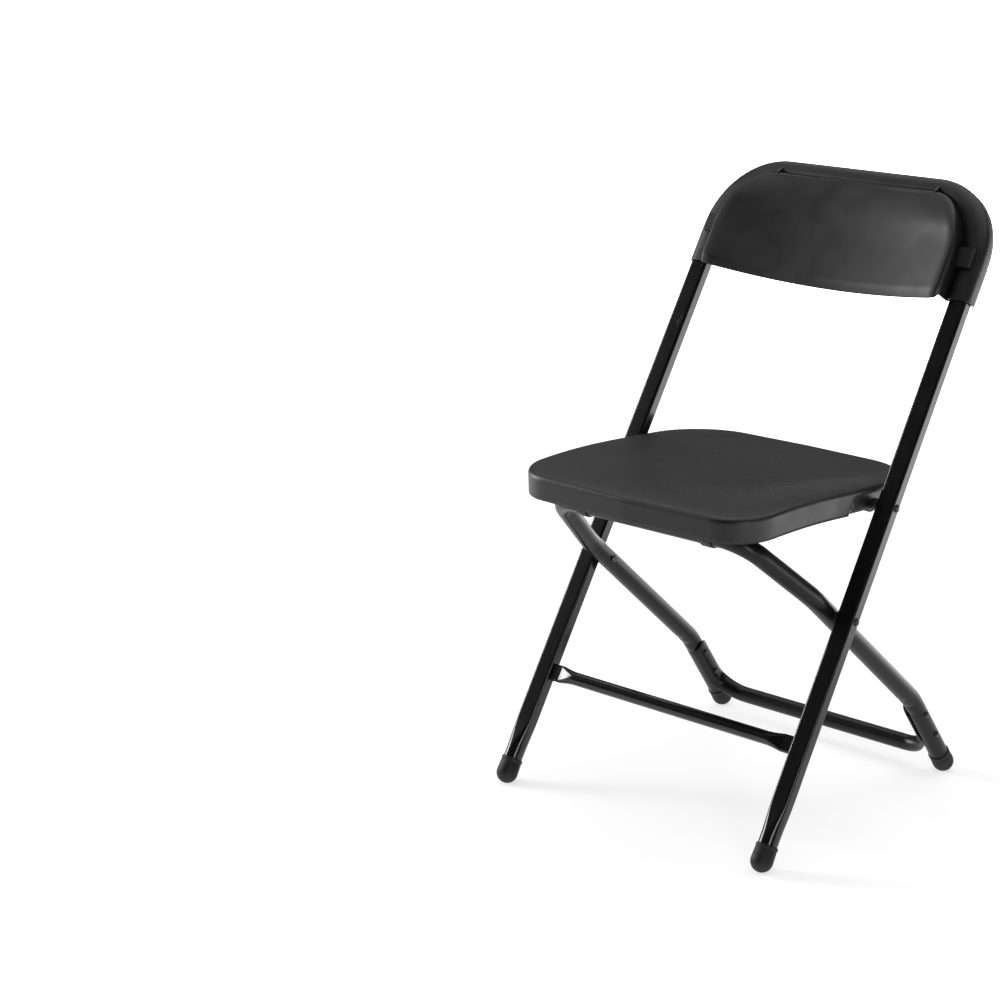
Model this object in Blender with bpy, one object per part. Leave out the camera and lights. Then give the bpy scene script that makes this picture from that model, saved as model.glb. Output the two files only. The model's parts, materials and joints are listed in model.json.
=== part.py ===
"""Folding chair: moulded seat and backrest on two crossed steel tube frames.

Metres, +Z up. The sitter faces -Y, +X is the sitter's left. The origin is on the floor, under
the middle of the open chair. The front frame is fixed. The seat turns on a pin through each
front leg, and the rear frame turns on a second pair of pins below it.
"""
import math

import bmesh
import bpy
from mathutils import Vector

# ---------------------------------------------------------------- driving dimensions
FRONT_LEAN = math.radians(31.66)     # the front frame leans back by this angle
FRONT_FLOOR_Y = -0.2405              # where the front legs' centre line meets the floor
LEG_HALF_FLOOR = 0.2138              # half the front legs' spacing at the floor
LEG_HALF_TOP = 0.2084                # and at the arch
ARCH_TOP = 0.9045                    # arch centre line, along the leaning frame
ARCH_RADIUS = 0.088
TUBE_WALL = 0.0014
TUBE_FOOT = 0.012                    # the front tube's ends, this far up the leg in their caps
TUBE_WIDTH = 0.026                   # flattened front tube, across the chair
TUBE_DEPTH = 0.017                   # and through the frame
TUBE_CORNER = 0.004
ROUND_RADIUS = 0.0127                # the same tube where it is round
ROUND_BELOW = 0.045                  # round below this distance along the leg
FLAT_ABOVE = 0.095

CROSS_PIVOT = 0.3311                 # distances along the front leg
SEAT_PIVOT = 0.4826
CROSSBAR_ALONG = 0.1617
CROSSBAR_RADIUS = 0.0089
CROSSBAR_PINCH = ((0, 1.0), (0.016, 1.0), (0.026, 0.55), (0.040, 0.0))   # (from its end, share)
PINCH_TALLER = 0.0055                # a fully pinched end is this much taller
PINCH_THINNER = 0.0105               # and this much thinner

REAR_LEAN = math.radians(48.9)       # upper part of the rear legs, from the vertical
REAR_FOOT_LEAN = math.radians(35.6)  # lower part
REAR_BEND = 0.243                    # from the cross pivot down to the bend
REAR_TOP = 0.178                     # from the cross pivot up to the top bar
REAR_TAPER_START = 0.045             # the legs turn inward above this
REAR_HALF_PIVOT = 0.1840             # half spacing of the rear legs
REAR_HALF_BEND = 0.1873
REAR_HALF_FLOOR = 0.1897
REAR_HALF_TOP = 0.1508
BRACE_RADIUS = 0.0111
BRACE_TOP_Z = 0.112
BRACE_BOTTOM_Z = 0.029
BRACE_RIVETS_Z = (0.098, 0.064)
BRACE_FLAT = 0.0034                  # thickness of its ends, which are flattened and
BRACE_FLAT_TURN = math.radians(66)   # wrap this far each way round the inside of a leg
BRACE_FLAT_Z = (0.028, 0.054)        # round below the first height, flattened above the second
BRACE_CORNER = 0.036
REAR_TUBE_CORNERS = (0.09, 0.12, 0.045)   # bend radii at the foot bend, the taper, the top bar

CAP_RADIUS = 0.0147
CAP_LENGTH = 0.036
CAP_BALL = 0.0132                    # height of the cap's ball centre over the floor
CAP_BORE = ROUND_RADIUS + 0.0004
CAP_FLOOR = 0.0115                   # the bore's depth stops this far from the floor

SEAT_FRONT = 0.2645                  # seat sizes, measured from the seat pivot
SEAT_FRONT_CORNER = 0.2585
SEAT_REAR = 0.122
SEAT_REAR_CORNER = 0.116
SEAT_HALF_FRONT = 0.190
SEAT_HALF_MIDDLE = 0.1955
SEAT_HALF_REAR = 0.192
SEAT_RIM_HEIGHT = 0.0252
SEAT_RAKE = math.tan(math.radians(3.5))
SEAT_FRONT_DROP = 0.014
SEAT_REAR_RISE = 0.002
SEAT_DISH = 0.010
SEAT_THICKNESS = 0.0032
SEAT_CORNERS = (0.056, 0.5, 0.093)   # plan radii: front corners, sides, rear corners
SEAT_SKIRT = 0.032
SEAT_SKIRT_RELIEF = 0.0145           # how much shallower it is at the rear, over the folded legs
SEAT_RELIEF_FROM = 0.020             # behind the pivot, where the relief starts
SEAT_RELIEF_TO = 0.075               # and where it is full
SEAT_RECESS = 0.0065
SEAT_CENTRE_Y = -0.070

SHELL_BOTTOM = 0.760                 # backrest sizes along the leaning frame
SHELL_LIP = 0.7495
SHELL_THICKNESS = 0.003
SHELL_HALF = 0.0168                  # cover's half width round the tube
COVER_HALF = LEG_HALF_TOP + 0.0004   # half the spacing of the covers' middles
SHELL_FRONT = 0.012
SHELL_REAR = -0.0085
PANEL_EDGE = 0.0198                  # panel's side wall, inward from the tube's centre line
PANEL_SIDE = 0.029                   # panel's height in front of the frame at its sides
PANEL_MIDDLE = 0.007                 # and in its middle
VALLEY_FLOOR = 0.002                 # the groove between the cover and the panel
BUMPER_LOW, BUMPER_HIGH = 0.8025, 0.8285   # along the frame
BUMPER_FRONT = 0.0175
BUMPER_OUT = 0.0052                  # its outer side, outward from the tube's centre line
BUMPER_IN = 0.0191                   # its inner side, by the panel's wall
SHELL_RIVET = 0.816

PIN_RADIUS = 0.0030
PIN_HOLE = 0.00325
SMALL_PIN_RADIUS = 0.0024
SMALL_PIN_HOLE = 0.0027
RIVET_HEAD = 0.0052
SMALL_RIVET_HEAD = 0.0046
SPACER_RADIUS = 0.0075
WASHER_RADIUS = 0.008
SLEEVE_RADIUS = 0.0149
SLEEVE_ENDS = (0.093, 0.109)         # distances from the middle of the top bar
GUIDE_SIDES = (0.096, 0.106)
GUIDE_REACH = 0.0155                 # from the bar's centre to the guide, round the bar
GAP = 0.0003
BRACE_REACH = ROUND_RADIUS + GAP + BRACE_FLAT / 2   # from a leg's centre to its flattened end's

SIN_F, COS_F = math.sin(FRONT_LEAN), math.cos(FRONT_LEAN)
SIDES = (("left", 1), ("right", -1))


# ---------------------------------------------------------------- places
def front(u, forward, along):
    """A point of the leaning front frame: across, in front of the tube's centre, and along it."""
    y = FRONT_FLOOR_Y + along * SIN_F - forward * COS_F
    return Vector((u, y, along * COS_F + forward * SIN_F))


def leg_half(along):
    """Half the spacing of the front legs at a distance along them."""
    return LEG_HALF_FLOOR + (LEG_HALF_TOP - LEG_HALF_FLOOR) * along / ARCH_TOP


CROSS_AXIS = front(0, 0, CROSS_PIVOT)
SEAT_AXIS = front(0, 0, SEAT_PIVOT)


def rear_upper(u, distance):
    """A point of the rear frame's straight upper part, by its distance above the cross pivot."""
    return CROSS_AXIS + Vector((u, -distance * math.sin(REAR_LEAN), distance * math.cos(REAR_LEAN)))


REAR_BEND_POINT = rear_upper(REAR_HALF_BEND, -REAR_BEND)


def rear_lower(z):
    """The centre of the left rear leg below its bend, at a height."""
    down = REAR_BEND_POINT.z - z
    share = down / REAR_BEND_POINT.z
    x = REAR_HALF_BEND + (REAR_HALF_FLOOR - REAR_HALF_BEND) * share
    return Vector((x, REAR_BEND_POINT.y + down * math.tan(REAR_FOOT_LEAN), z))


# ---------------------------------------------------------------- paths and meshes
def rounded(points, radii, step=math.radians(12)):
    """Replace each inner corner of an open path with an arc of the given radius."""
    path = [points[0]]
    for before, corner, after, radius in zip(points, points[1:], points[2:], radii):
        back, ahead = (before - corner).normalized(), (after - corner).normalized()
        turn = math.pi - back.angle(ahead)
        reach = radius * math.tan(turn / 2)
        centre = corner + (back + ahead).normalized() * math.hypot(radius, reach)
        start, end = corner + back * reach - centre, corner + ahead * reach - centre
        count = max(2, round(turn / step))
        for i in range(count + 1):
            share = i / count
            weights = math.sin((1 - share) * turn), math.sin(share * turn)
            path.append(centre + (start * weights[0] + end * weights[1]) / math.sin(turn))
    path.append(points[-1])
    return path


def mirrored(path):
    """Continue a half path, which ends at X = 0 or before it, with its mirror image."""
    return path + [Vector((-p.x, p.y, p.z)) for p in reversed(path) if p.x > 1e-6]


def tube_section(width, depth, corner, per_corner=4):
    """A rounded rectangle as (across, through) pairs, a circle when the corners fill it."""
    points = []
    centres = [(1, 1), (-1, 1), (-1, -1), (1, -1)]
    for quarter, (sx, sy) in enumerate(centres):
        cx, cy = sx * (width / 2 - corner), sy * (depth / 2 - corner)
        for i in range(per_corner):
            angle = math.pi / 2 * (quarter + (i + 0.5) / per_corner)
            points.append((cx + corner * math.cos(angle), cy + corner * math.sin(angle)))
    return points


def sweep_rings(path, side, section_at):
    """One ring of points at each station of a path; side is the first across direction."""
    rings = []
    last = None
    for i, point in enumerate(path):
        before, after = path[max(i - 1, 0)], path[min(i + 1, len(path) - 1)]
        tangent = (after - before).normalized()
        if last is not None:
            side = last.rotation_difference(tangent) @ side
        side = (side - tangent * side.dot(tangent)).normalized()
        last = tangent
        through = tangent.cross(side)
        rings.append([point + side * a + through * b for a, b in section_at(i)])
    return rings


def skin(bm, rings, closed_path=False, flip=False):
    """Faces between neighbouring rings of equal length."""
    count = len(rings[0])
    pairs = list(zip(rings, rings[1:]))
    if closed_path:
        pairs.append((rings[-1], rings[0]))
    for low, high in pairs:
        for i in range(count):
            j = (i + 1) % count
            face = [low[i], low[j], high[j], high[i]]
            bm.faces.new(reversed(face) if flip else face)


def add_rings(bm, rings):
    return [[bm.verts.new(p) for p in ring] for ring in rings]


def hollow_sweep(path, side, section_at):
    """A bmesh tube with walls, open at both ends; section_at(i, inset) gives each outline."""
    bm = bmesh.new()
    outer = add_rings(bm, sweep_rings(path, side, lambda i: section_at(i, 0.0)))
    inner = add_rings(bm, sweep_rings(path, side, lambda i: section_at(i, TUBE_WALL)))
    skin(bm, outer)
    skin(bm, inner, flip=True)
    skin(bm, [inner[0], outer[0]])
    skin(bm, [outer[-1], inner[-1]])
    return bm


def round_section(radius, count=14):
    def section_at(_, inset):
        r = radius - inset
        turns = [math.tau * (i + 0.5) / count for i in range(count)]
        return [(r * math.cos(a), r * math.sin(a)) for a in turns]
    return section_at


def turned(profile, start, direction, count=14, closed=False):
    """Turn (distance along, radius) pairs about an axis from start along direction."""
    direction = direction.normalized()
    across = direction.orthogonal().normalized()
    other = direction.cross(across)
    bm = bmesh.new()
    rings = []
    for along, radius in profile:
        centre = start + direction * along
        if radius == 0:
            rings.append([bm.verts.new(centre)] * count)
            continue
        turns = [math.tau * (i + 0.5) / count for i in range(count)]
        rings.append([bm.verts.new(centre + (across * math.cos(a) + other * math.sin(a)) * radius)
                      for a in turns])
    pairs = list(zip(rings, rings[1:]))
    if closed:
        pairs.append((rings[-1], rings[0]))
    for low, high in pairs:
        for i in range(count):
            j = (i + 1) % count
            corners = [low[i], low[j], high[j], high[i]]
            bm.faces.new(list(dict.fromkeys(corners)))
    bmesh.ops.recalc_face_normals(bm, faces=bm.faces)
    return bm


# ---------------------------------------------------------------- scene objects
def clear_scene():
    for thing in list(bpy.data.objects):
        bpy.data.objects.remove(thing)


def make_material(name, colour, roughness, metallic):
    material = bpy.data.materials.new(name)
    material.use_nodes = True
    shader = material.node_tree.nodes["Principled BSDF"]
    shader.inputs["Base Color"].default_value = (*colour, 1)
    shader.inputs["Roughness"].default_value = roughness
    shader.inputs["Metallic"].default_value = metallic
    return material


def make_body(name, place):
    empty = bpy.data.objects.new(name, None)
    empty.location = place
    empty.empty_display_size = 0.03
    bpy.context.scene.collection.objects.link(empty)
    return empty


def add_object(name, bm, material, body, smooth=math.radians(38)):
    """Turn a bmesh in world coordinates into an object parented to its body's axis."""
    bmesh.ops.translate(bm, verts=bm.verts, vec=-body.location)
    mesh = bpy.data.meshes.new(name)
    bm.to_mesh(mesh)
    bm.free()
    mesh.shade_smooth()
    mesh.set_sharp_from_angle(angle=smooth)
    mesh.materials.append(material)
    thing = bpy.data.objects.new(name, mesh)
    thing.parent = body
    bpy.context.scene.collection.objects.link(thing)
    return thing


def drill(name, centre, radius, body, targets):
    """Cut one straight hole across the whole chair through the named pieces."""
    bm = turned([(0, 0), (0, radius), (0.52, radius), (0.52, 0)],
                Vector((-0.26, centre.y, centre.z)), Vector((1, 0, 0)), count=16)
    cutter = add_object(name, bm, targets[0].data.materials[0], body)
    cutter.hide_render = True
    cutter.display_type = "WIRE"
    for target in targets:
        cut = target.modifiers.new(name, "BOOLEAN")
        cut.operation = "DIFFERENCE"
        cut.solver = "EXACT"
        cut.object = cutter


# ---------------------------------------------------------------- front frame
def front_tube_section(along):
    """The tube's section at a distance along the leg: round at the feet, flat-sided above."""
    def section_at(inset):
        share = min(max((along - ROUND_BELOW) / (FLAT_ABOVE - ROUND_BELOW), 0), 1)
        width = 2 * ROUND_RADIUS + (TUBE_WIDTH - 2 * ROUND_RADIUS) * share
        depth = 2 * ROUND_RADIUS + (TUBE_DEPTH - 2 * ROUND_RADIUS) * share
        corner = ROUND_RADIUS + (TUBE_CORNER - ROUND_RADIUS) * share
        return tube_section(width - 2 * inset, depth - 2 * inset, corner - inset)
    return section_at


def front_frame_tube(body, paint):
    stations = [TUBE_FOOT, ROUND_BELOW, (ROUND_BELOW + FLAT_ABOVE) / 2, FLAT_ABOVE]
    leg = [front(leg_half(s), 0, s) for s in stations]
    corner = front(LEG_HALF_TOP, 0, ARCH_TOP)
    arch = rounded([leg[-1], corner, front(0, 0, ARCH_TOP)], [ARCH_RADIUS])
    path = mirrored(leg[:-1] + arch[:-1])
    along = [(p - front(0, 0, 0)).dot(front(0, 0, 1) - front(0, 0, 0)) for p in path]
    bm = hollow_sweep(path, Vector((1, 0, 0)), lambda i, inset: front_tube_section(along[i])(inset))
    return add_object("front_frame_tube", bm, paint, body)


def front_crossbar(body, paint):
    """A round tube whose ends are pinched flat in the frame's plane and welded to the legs."""
    end = leg_half(CROSSBAR_ALONG) - TUBE_WIDTH / 2 - GAP
    half = [front(end - inward, 0, CROSSBAR_ALONG) for inward, _ in CROSSBAR_PINCH]
    path = mirrored(half)
    shares = [share for _, share in CROSSBAR_PINCH]
    amounts = shares + shares[::-1]

    def section_at(i, inset):
        tall = 2 * CROSSBAR_RADIUS + PINCH_TALLER * amounts[i] - 2 * inset
        deep = 2 * CROSSBAR_RADIUS - PINCH_THINNER * amounts[i] - 2 * inset
        return tube_section(tall, deep, min(tall, deep) / 2 - 0.0001)

    along = front(0, 0, 1) - front(0, 0, 0)
    return add_object("front_crossbar", hollow_sweep(path, along, section_at), paint, body)


def foot_cap(name, floor_point, direction, body, plastic):
    """A cup round the tube's end with a round nose, cut flat where it stands."""
    ball = CAP_BALL / direction.z
    nose = [(ball - CAP_RADIUS * math.cos(a), CAP_RADIUS * math.sin(a))
            for a in [math.radians(d) for d in (18, 36, 54, 72, 90)]]
    profile = [(ball - CAP_RADIUS, 0)] + nose
    profile += [(CAP_LENGTH - 0.0015, CAP_RADIUS - 0.0003), (CAP_LENGTH, CAP_RADIUS - 0.0009)]
    profile += [(CAP_LENGTH, CAP_BORE), (CAP_FLOOR, CAP_BORE), (CAP_FLOOR, 0)]
    bm = turned(profile, floor_point, direction)
    cut = bmesh.ops.bisect_plane(bm, geom=bm.verts[:] + bm.edges[:] + bm.faces[:],
                                 plane_co=(0, 0, 0), plane_no=(0, 0, 1), clear_inner=True)
    rim = [e for e in cut["geom_cut"] if isinstance(e, bmesh.types.BMEdge)]
    bmesh.ops.contextual_create(bm, geom=rim)
    bmesh.ops.recalc_face_normals(bm, faces=bm.faces)
    return add_object(name, bm, plastic, body)


def rivet(name, inner, outer, centre, side, body, metal, pin=PIN_RADIUS, head=RIVET_HEAD,
          dome=0.0030):
    """A pin across the chair with a flat inner head and a domed outer head."""
    length = outer - inner
    profile = [(-0.0018, 0), (-0.0018, head * 0.78), (-0.0006, head * 0.86), (0, head * 0.86)]
    profile += [(0, pin), (length, pin), (length, head)]
    profile += [(length + dome * math.sin(a), head * math.cos(a))
                for a in [math.radians(d) for d in (30, 60)]]
    profile += [(length + dome, 0)]
    start = Vector((side * inner, centre.y, centre.z))
    bm = turned(profile, start, Vector((side, 0, 0)), count=10)
    return add_object(name, bm, metal, body)


def ring(name, inner, outer, centre, side, hole, radius, body, material, count=14):
    """A washer, spacer or sleeve between two distances from the middle of the chair."""
    profile = [(0, hole), (0, radius), (outer - inner, radius), (outer - inner, hole)]
    start = Vector((side * inner, centre.y, centre.z))
    bm = turned(profile, start, Vector((side, 0, 0)), count=count, closed=True)
    return add_object(name, bm, material, body)


# ---------------------------------------------------------------- backrest
def arch_stations(leg_steps=3, corner_steps=7, top_steps=3):
    """Points and outward directions along half of the arch, from the bottom to the middle."""
    centre_u, centre_v = LEG_HALF_TOP - ARCH_RADIUS, ARCH_TOP - ARCH_RADIUS
    stations = []
    for i in range(leg_steps):
        stations.append((COVER_HALF, SHELL_BOTTOM + (centre_v - SHELL_BOTTOM) * i / leg_steps, 1.0, 0.0))
    for i in range(corner_steps + 1):
        angle = math.pi / 2 * i / corner_steps
        c, s = math.cos(angle), math.sin(angle)
        stations.append((centre_u + ARCH_RADIUS * c, centre_v + ARCH_RADIUS * s, c, s))
    for i in range(1, top_steps + 1):
        stations.append((centre_u * (1 - i / top_steps), ARCH_TOP, 0.0, 1.0))
    return stations


def panel_height(u):
    """The panel curves forward from its middle to its sides."""
    share = min(abs(u) / (LEG_HALF_TOP - PANEL_EDGE), 1)
    return PANEL_MIDDLE + (PANEL_SIDE - PANEL_MIDDLE) * share ** 2


def cover_profile(u):
    """Section of the shell across the arch: (outward, forward) pairs from the rear edge in."""
    w, f = SHELL_HALF, SHELL_FRONT
    rim = panel_height(u)
    low = min(VALLEY_FLOOR + 0.003, rim - 0.003)
    return [(w, SHELL_REAR), (w, f - 0.007), (w - 0.0012, f - 0.0028), (w - 0.0045, f - 0.0004),
            (0.006, f), (-0.006, f), (-w + 0.0045, f - 0.0004), (-w + 0.0012, f - 0.0028),
            (-w, f - 0.007), (-w - 0.001, VALLEY_FLOOR), (-PANEL_EDGE + 0.0004, low),
            (-PANEL_EDGE, rim - 0.003), (-PANEL_EDGE - 0.0012, rim - 0.0008),
            (-PANEL_EDGE - 0.004, rim)]


def lip_height(u):
    """Where the panel's lower edge lies along the frame."""
    return SHELL_LIP + 0.003 * (u / LEG_HALF_TOP) ** 2


def shell_surface():
    """The backrest's front surface: a cover round the arch, and the curved panel inside it."""
    half = arch_stations()
    bm = bmesh.new()
    columns = []
    for side in (1, -1):
        row = []
        for u, v, nu, nv in half:
            points = [(u + r * nu, v + r * nv, n) for r, n in cover_profile(u - PANEL_EDGE * nu)]
            row.append([front(side * max(pu, 0), n, pv) for pu, pv, n in points])
        columns.append(row)
    arch = columns[0] + columns[1][-2::-1]
    bottoms = [0, len(arch) - 1]
    for index, side in zip(bottoms, (1, -1)):
        for k in range(9, len(arch[index])):
            point = arch[index][k]
            arch[index][k] = point + (front(0, 0, lip_height(point.x)) - front(0, 0, SHELL_BOTTOM))
    strip = [[bm.verts.new(p) for p in column] for column in arch]
    for a, b in zip(strip, strip[1:]):
        for k in range(len(a) - 1):
            bm.faces.new((a[k], a[k + 1], b[k + 1], b[k]))
    fill_panel(bm, [column[-1] for column in strip], len(half) - 4)
    return bm


def fill_panel(bm, edge, rows):
    """Fill the panel with a grid: rows run from the right edge point to the left one."""
    top = edge[rows:len(edge) - rows]
    across = len(top) - 1
    shares = [abs(p.co.x - top[0].co.x) / (2 * top[0].co.x) for p in top]
    grid = []
    for j in range(rows):
        right, left = edge[j], edge[len(edge) - 1 - j]
        line = [right]
        for share in shares[1:-1]:
            u = right.co.x + (left.co.x - right.co.x) * share
            along = (right.co - front(0, 0, 0)).dot(front(0, 0, 1) - front(0, 0, 0))
            if j == 0:
                along = lip_height(u)
            line.append(bm.verts.new(front(u, panel_height(u), along)))
        grid.append(line + [left])
    grid.append(top)
    for low, high in zip(grid, grid[1:]):
        for i in range(across):
            bm.faces.new((low[i], low[i + 1], high[i + 1], high[i]))


def backrest_shell(body, plastic):
    bm = shell_surface()
    bmesh.ops.recalc_face_normals(bm, faces=bm.faces)
    forward = front(0, 1, 0) - front(0, 0, 0)
    middle = max(bm.faces, key=lambda f: f.calc_area())
    if middle.normal.dot(forward) < 0:
        bmesh.ops.reverse_faces(bm, faces=bm.faces)
    shell = add_object("backrest_shell", bm, plastic, body)
    wall = shell.modifiers.new("wall", "SOLIDIFY")
    wall.thickness = SHELL_THICKNESS
    wall.offset = -1
    wall.use_even_offset = True
    return shell


def stacking_bumper(name, side, body, plastic):
    """A block that bridges the valley beside the panel and stands proud of the cover."""
    w, f = SHELL_HALF, SHELL_FRONT
    outline = [(BUMPER_OUT, f + GAP), (-0.008, f + GAP), (-w + 0.0014, f), (-w - 0.0009, f - 0.0024),
               (-BUMPER_IN, f - 0.0040), (-BUMPER_IN, BUMPER_FRONT), (BUMPER_OUT - 0.0008, BUMPER_FRONT)]
    bm = bmesh.new()
    ends = []
    for along in (BUMPER_LOW, BUMPER_HIGH):
        ends.append([bm.verts.new(front(side * (COVER_HALF + r), n, along)) for r, n in outline])
    skin(bm, ends)
    bm.faces.new(ends[0])
    bm.faces.new(ends[1])
    bmesh.ops.recalc_face_normals(bm, faces=bm.faces)
    return add_object(name, bm, plastic, body)


def backrest_rivet(name, side, body, metal):
    """A domed rivet head on the back of the tube with a short shank into its hollow."""
    start = front(side * LEG_HALF_TOP, -TUBE_DEPTH / 2 - GAP, SHELL_RIVET)
    back = front(0, -1, 0) - front(0, 0, 0)
    profile = [(0, 0), (0, 0.0048), (0.0012, 0.0043), (0.0022, 0.0026), (0.0026, 0)]
    return add_object(name, turned(profile, start, back), metal, body)


# ---------------------------------------------------------------- seat
def seat_outline(counts=(20, 8, 12)):
    """The seat's outline in plan, round from the front's middle by the left side."""
    corners = [Vector((0, -SEAT_FRONT, 0)), Vector((SEAT_HALF_FRONT, -SEAT_FRONT_CORNER, 0)),
               Vector((SEAT_HALF_MIDDLE, -0.06, 0)), Vector((SEAT_HALF_REAR, SEAT_REAR_CORNER, 0)),
               Vector((0, SEAT_REAR, 0))]
    path = rounded(corners, SEAT_CORNERS, step=math.radians(4))
    lengths = [0.0]
    for a, b in zip(path, path[1:]):
        lengths.append(lengths[-1] + (b - a).length)

    def at(distance):
        for i in range(1, len(path)):
            if distance <= lengths[i] or i == len(path) - 1:
                share = (distance - lengths[i - 1]) / (lengths[i] - lengths[i - 1])
                return path[i - 1].lerp(path[i], share)

    def length_at(y):
        for i in range(1, len(path)):
            if path[i - 1].y <= y <= path[i].y and path[i].x > 0.15:
                share = (y - path[i - 1].y) / (path[i].y - path[i - 1].y)
                return lengths[i - 1] + share * (lengths[i] - lengths[i - 1])

    stops = [0.0, length_at(-0.056), length_at(0.056), lengths[-1]]
    half = []
    for start, end, count in zip(stops, stops[1:], counts):
        half += [at(start + (end - start) * i / count) for i in range(count)]
    half.append(path[-1])
    return half + [Vector((-p.x, p.y, 0)) for p in half[-2:0:-1]]


def rim_height(y):
    """Height of the seat's rim over the seat pivot, along the seat."""
    back = y - 0.0035
    front_share = max(0.0, (-back - 0.154) / 0.110)
    rear_share = max(0.0, (back - 0.029) / 0.090)
    drop = SEAT_FRONT_DROP * front_share ** 2
    return SEAT_RIM_HEIGHT - SEAT_RAKE * back - drop + SEAT_REAR_RISE * rear_share ** 2


def smooth_share(value, low, high):
    share = min(max((value - low) / (high - low), 0.0), 1.0)
    return share * share * (3 - 2 * share)


def skirt_bottom(y):
    """Height of the skirt's lower edge over the pivot: shallow at the rear, an ear at the pin."""
    depth = SEAT_SKIRT - SEAT_SKIRT_RELIEF * smooth_share(y, SEAT_RELIEF_FROM, SEAT_RELIEF_TO)
    plain = rim_height(y) - depth
    ear = -0.011 + 0.0045 * (y / 0.014) ** 2
    return min(plain, ear)


def seat_dish(share):
    """How far the top sinks below the rim at a share of the way from the middle to the rim."""
    return SEAT_DISH * (1 - smooth_share(share, 0.15, 0.97))


def seat_loops(outline):
    """Loops of the seat's outer surface, from near the middle out to the skirt's edge."""
    centre = Vector((0, SEAT_CENTRE_Y, 0))
    count = len(outline)
    outward = []
    for i in range(count):
        run = outline[(i + 1) % count] - outline[i - 1]
        outward.append(Vector((run.y, -run.x, 0)).normalized())
    loops = []
    for share in (0.2, 0.45, 0.68, 0.85):
        ring_points = [centre + (p - centre) * share for p in outline]
        loops.append([Vector((p.x, p.y, rim_height(p.y) - seat_dish(share))) for p in ring_points])
    for inset, drop in ((0.0065, 0.0), (0.0028, 0.0012), (0.0007, 0.0036), (0.0, 0.007)):
        loops.append([Vector((p.x, p.y, rim_height(p.y) - drop))
                      - n * inset for p, n in zip(outline, outward)])
    for share, inward in ((0.12, 1.0), (1.0, 1.0)):
        ring_points = []
        for p, n in zip(outline, outward):
            top, bottom = rim_height(p.y) - 0.009, skirt_bottom(p.y)
            recess = SEAT_RECESS * (1 - smooth_share(abs(p.y), 0.042, 0.056)) * inward
            recess *= 1.0 if abs(p.x) > 0.15 else 0.0
            point = p - n * (recess + 0.0006 * share)
            ring_points.append(Vector((point.x, point.y, top + (bottom - top) * share)))
        loops.append(ring_points)
    return loops


def seat_pan(body, plastic):
    bm = bmesh.new()
    lift = body.location
    loops = [[bm.verts.new(p + lift) for p in loop] for loop in seat_loops(seat_outline())]
    middle = bm.verts.new(lift + Vector((0, SEAT_CENTRE_Y, rim_height(SEAT_CENTRE_Y) - SEAT_DISH)))
    count = len(loops[0])
    for i in range(count):
        bm.faces.new((middle, loops[0][i], loops[0][(i + 1) % count]))
    skin(bm, loops, flip=True)
    bmesh.ops.recalc_face_normals(bm, faces=bm.faces)
    if next(iter(middle.link_faces)).normal.z < 0:
        bmesh.ops.reverse_faces(bm, faces=bm.faces)
    pan = add_object("seat_pan", bm, plastic, body)
    wall = pan.modifiers.new("wall", "SOLIDIFY")
    wall.thickness = SEAT_THICKNESS
    wall.offset = -1
    wall.use_even_offset = True
    return pan


def pan_underside(x, y):
    """The lowest the pan's underside can be above the pivot, at a place under its top."""
    share = max(abs(x) / SEAT_HALF_MIDDLE, abs(y - SEAT_CENTRE_Y) / (SEAT_FRONT + SEAT_CENTRE_Y))
    return rim_height(y) - seat_dish(share * 0.9) - SEAT_THICKNESS


def seat_guide(name, side, body, nylon):
    """A rib under the seat that sits on the rear frame's top bar and hooks in front of it."""
    bar = rear_upper(0, REAR_TOP) - body.location
    near, far = GUIDE_SIDES
    low, hook = bar.z + GUIDE_REACH, bar.y - GUIDE_REACH
    outline = [(hook - 0.007, -0.013), (hook - 0.005, -0.016), (hook, -0.014)]
    outline += [(bar.y - GUIDE_REACH * math.cos(a), bar.z + GUIDE_REACH * math.sin(a))
                for a in [math.radians(d) for d in (0, 22, 45, 68, 90)]]
    outline += [(-0.03, low), (-0.022, low + 0.003)]
    tops = [-0.022, -0.07, -0.12, -0.17, -0.21, hook - 0.007]
    outline += [(y, min(pan_underside(near, y), pan_underside(far, y)) - 0.0012) for y in tops]
    bm = bmesh.new()
    faces = []
    for x in (side * near, side * far):
        faces.append([bm.verts.new(body.location + Vector((x, y, z))) for y, z in outline])
    skin(bm, faces)
    bm.faces.new(faces[0])
    bm.faces.new(faces[1])
    bmesh.ops.recalc_face_normals(bm, faces=bm.faces)
    return add_object(name, bm, nylon, body)


# ---------------------------------------------------------------- rear frame
def rear_frame_tube(body, paint):
    foot = rear_lower(0.011)
    points = [foot, REAR_BEND_POINT, rear_upper(REAR_HALF_PIVOT, REAR_TAPER_START),
              rear_upper(REAR_HALF_TOP, REAR_TOP), rear_upper(0, REAR_TOP)]
    half = rounded(points, REAR_TUBE_CORNERS, step=math.radians(13))
    bm = hollow_sweep(mirrored(half[:-1]), Vector((1, 0, 0)), round_section(ROUND_RADIUS))
    return add_object("rear_frame_tube", bm, paint, body)


def brace_point(z):
    """The brace's centre line inside the left rear leg, at a height."""
    return rear_lower(z) - Vector((BRACE_REACH, 0, 0))


def flattened(turn, inset):
    """A point of the flattened section: how far towards the leg, and how far round it."""
    cosine = math.cos(turn)
    radius = BRACE_REACH - math.copysign(abs(cosine) ** 0.5, cosine) * (BRACE_FLAT / 2 - inset)
    wrap = (BRACE_FLAT_TURN - inset / BRACE_REACH) * math.sin(turn)
    return BRACE_REACH - radius * math.cos(wrap), radius * math.sin(wrap)


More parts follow.
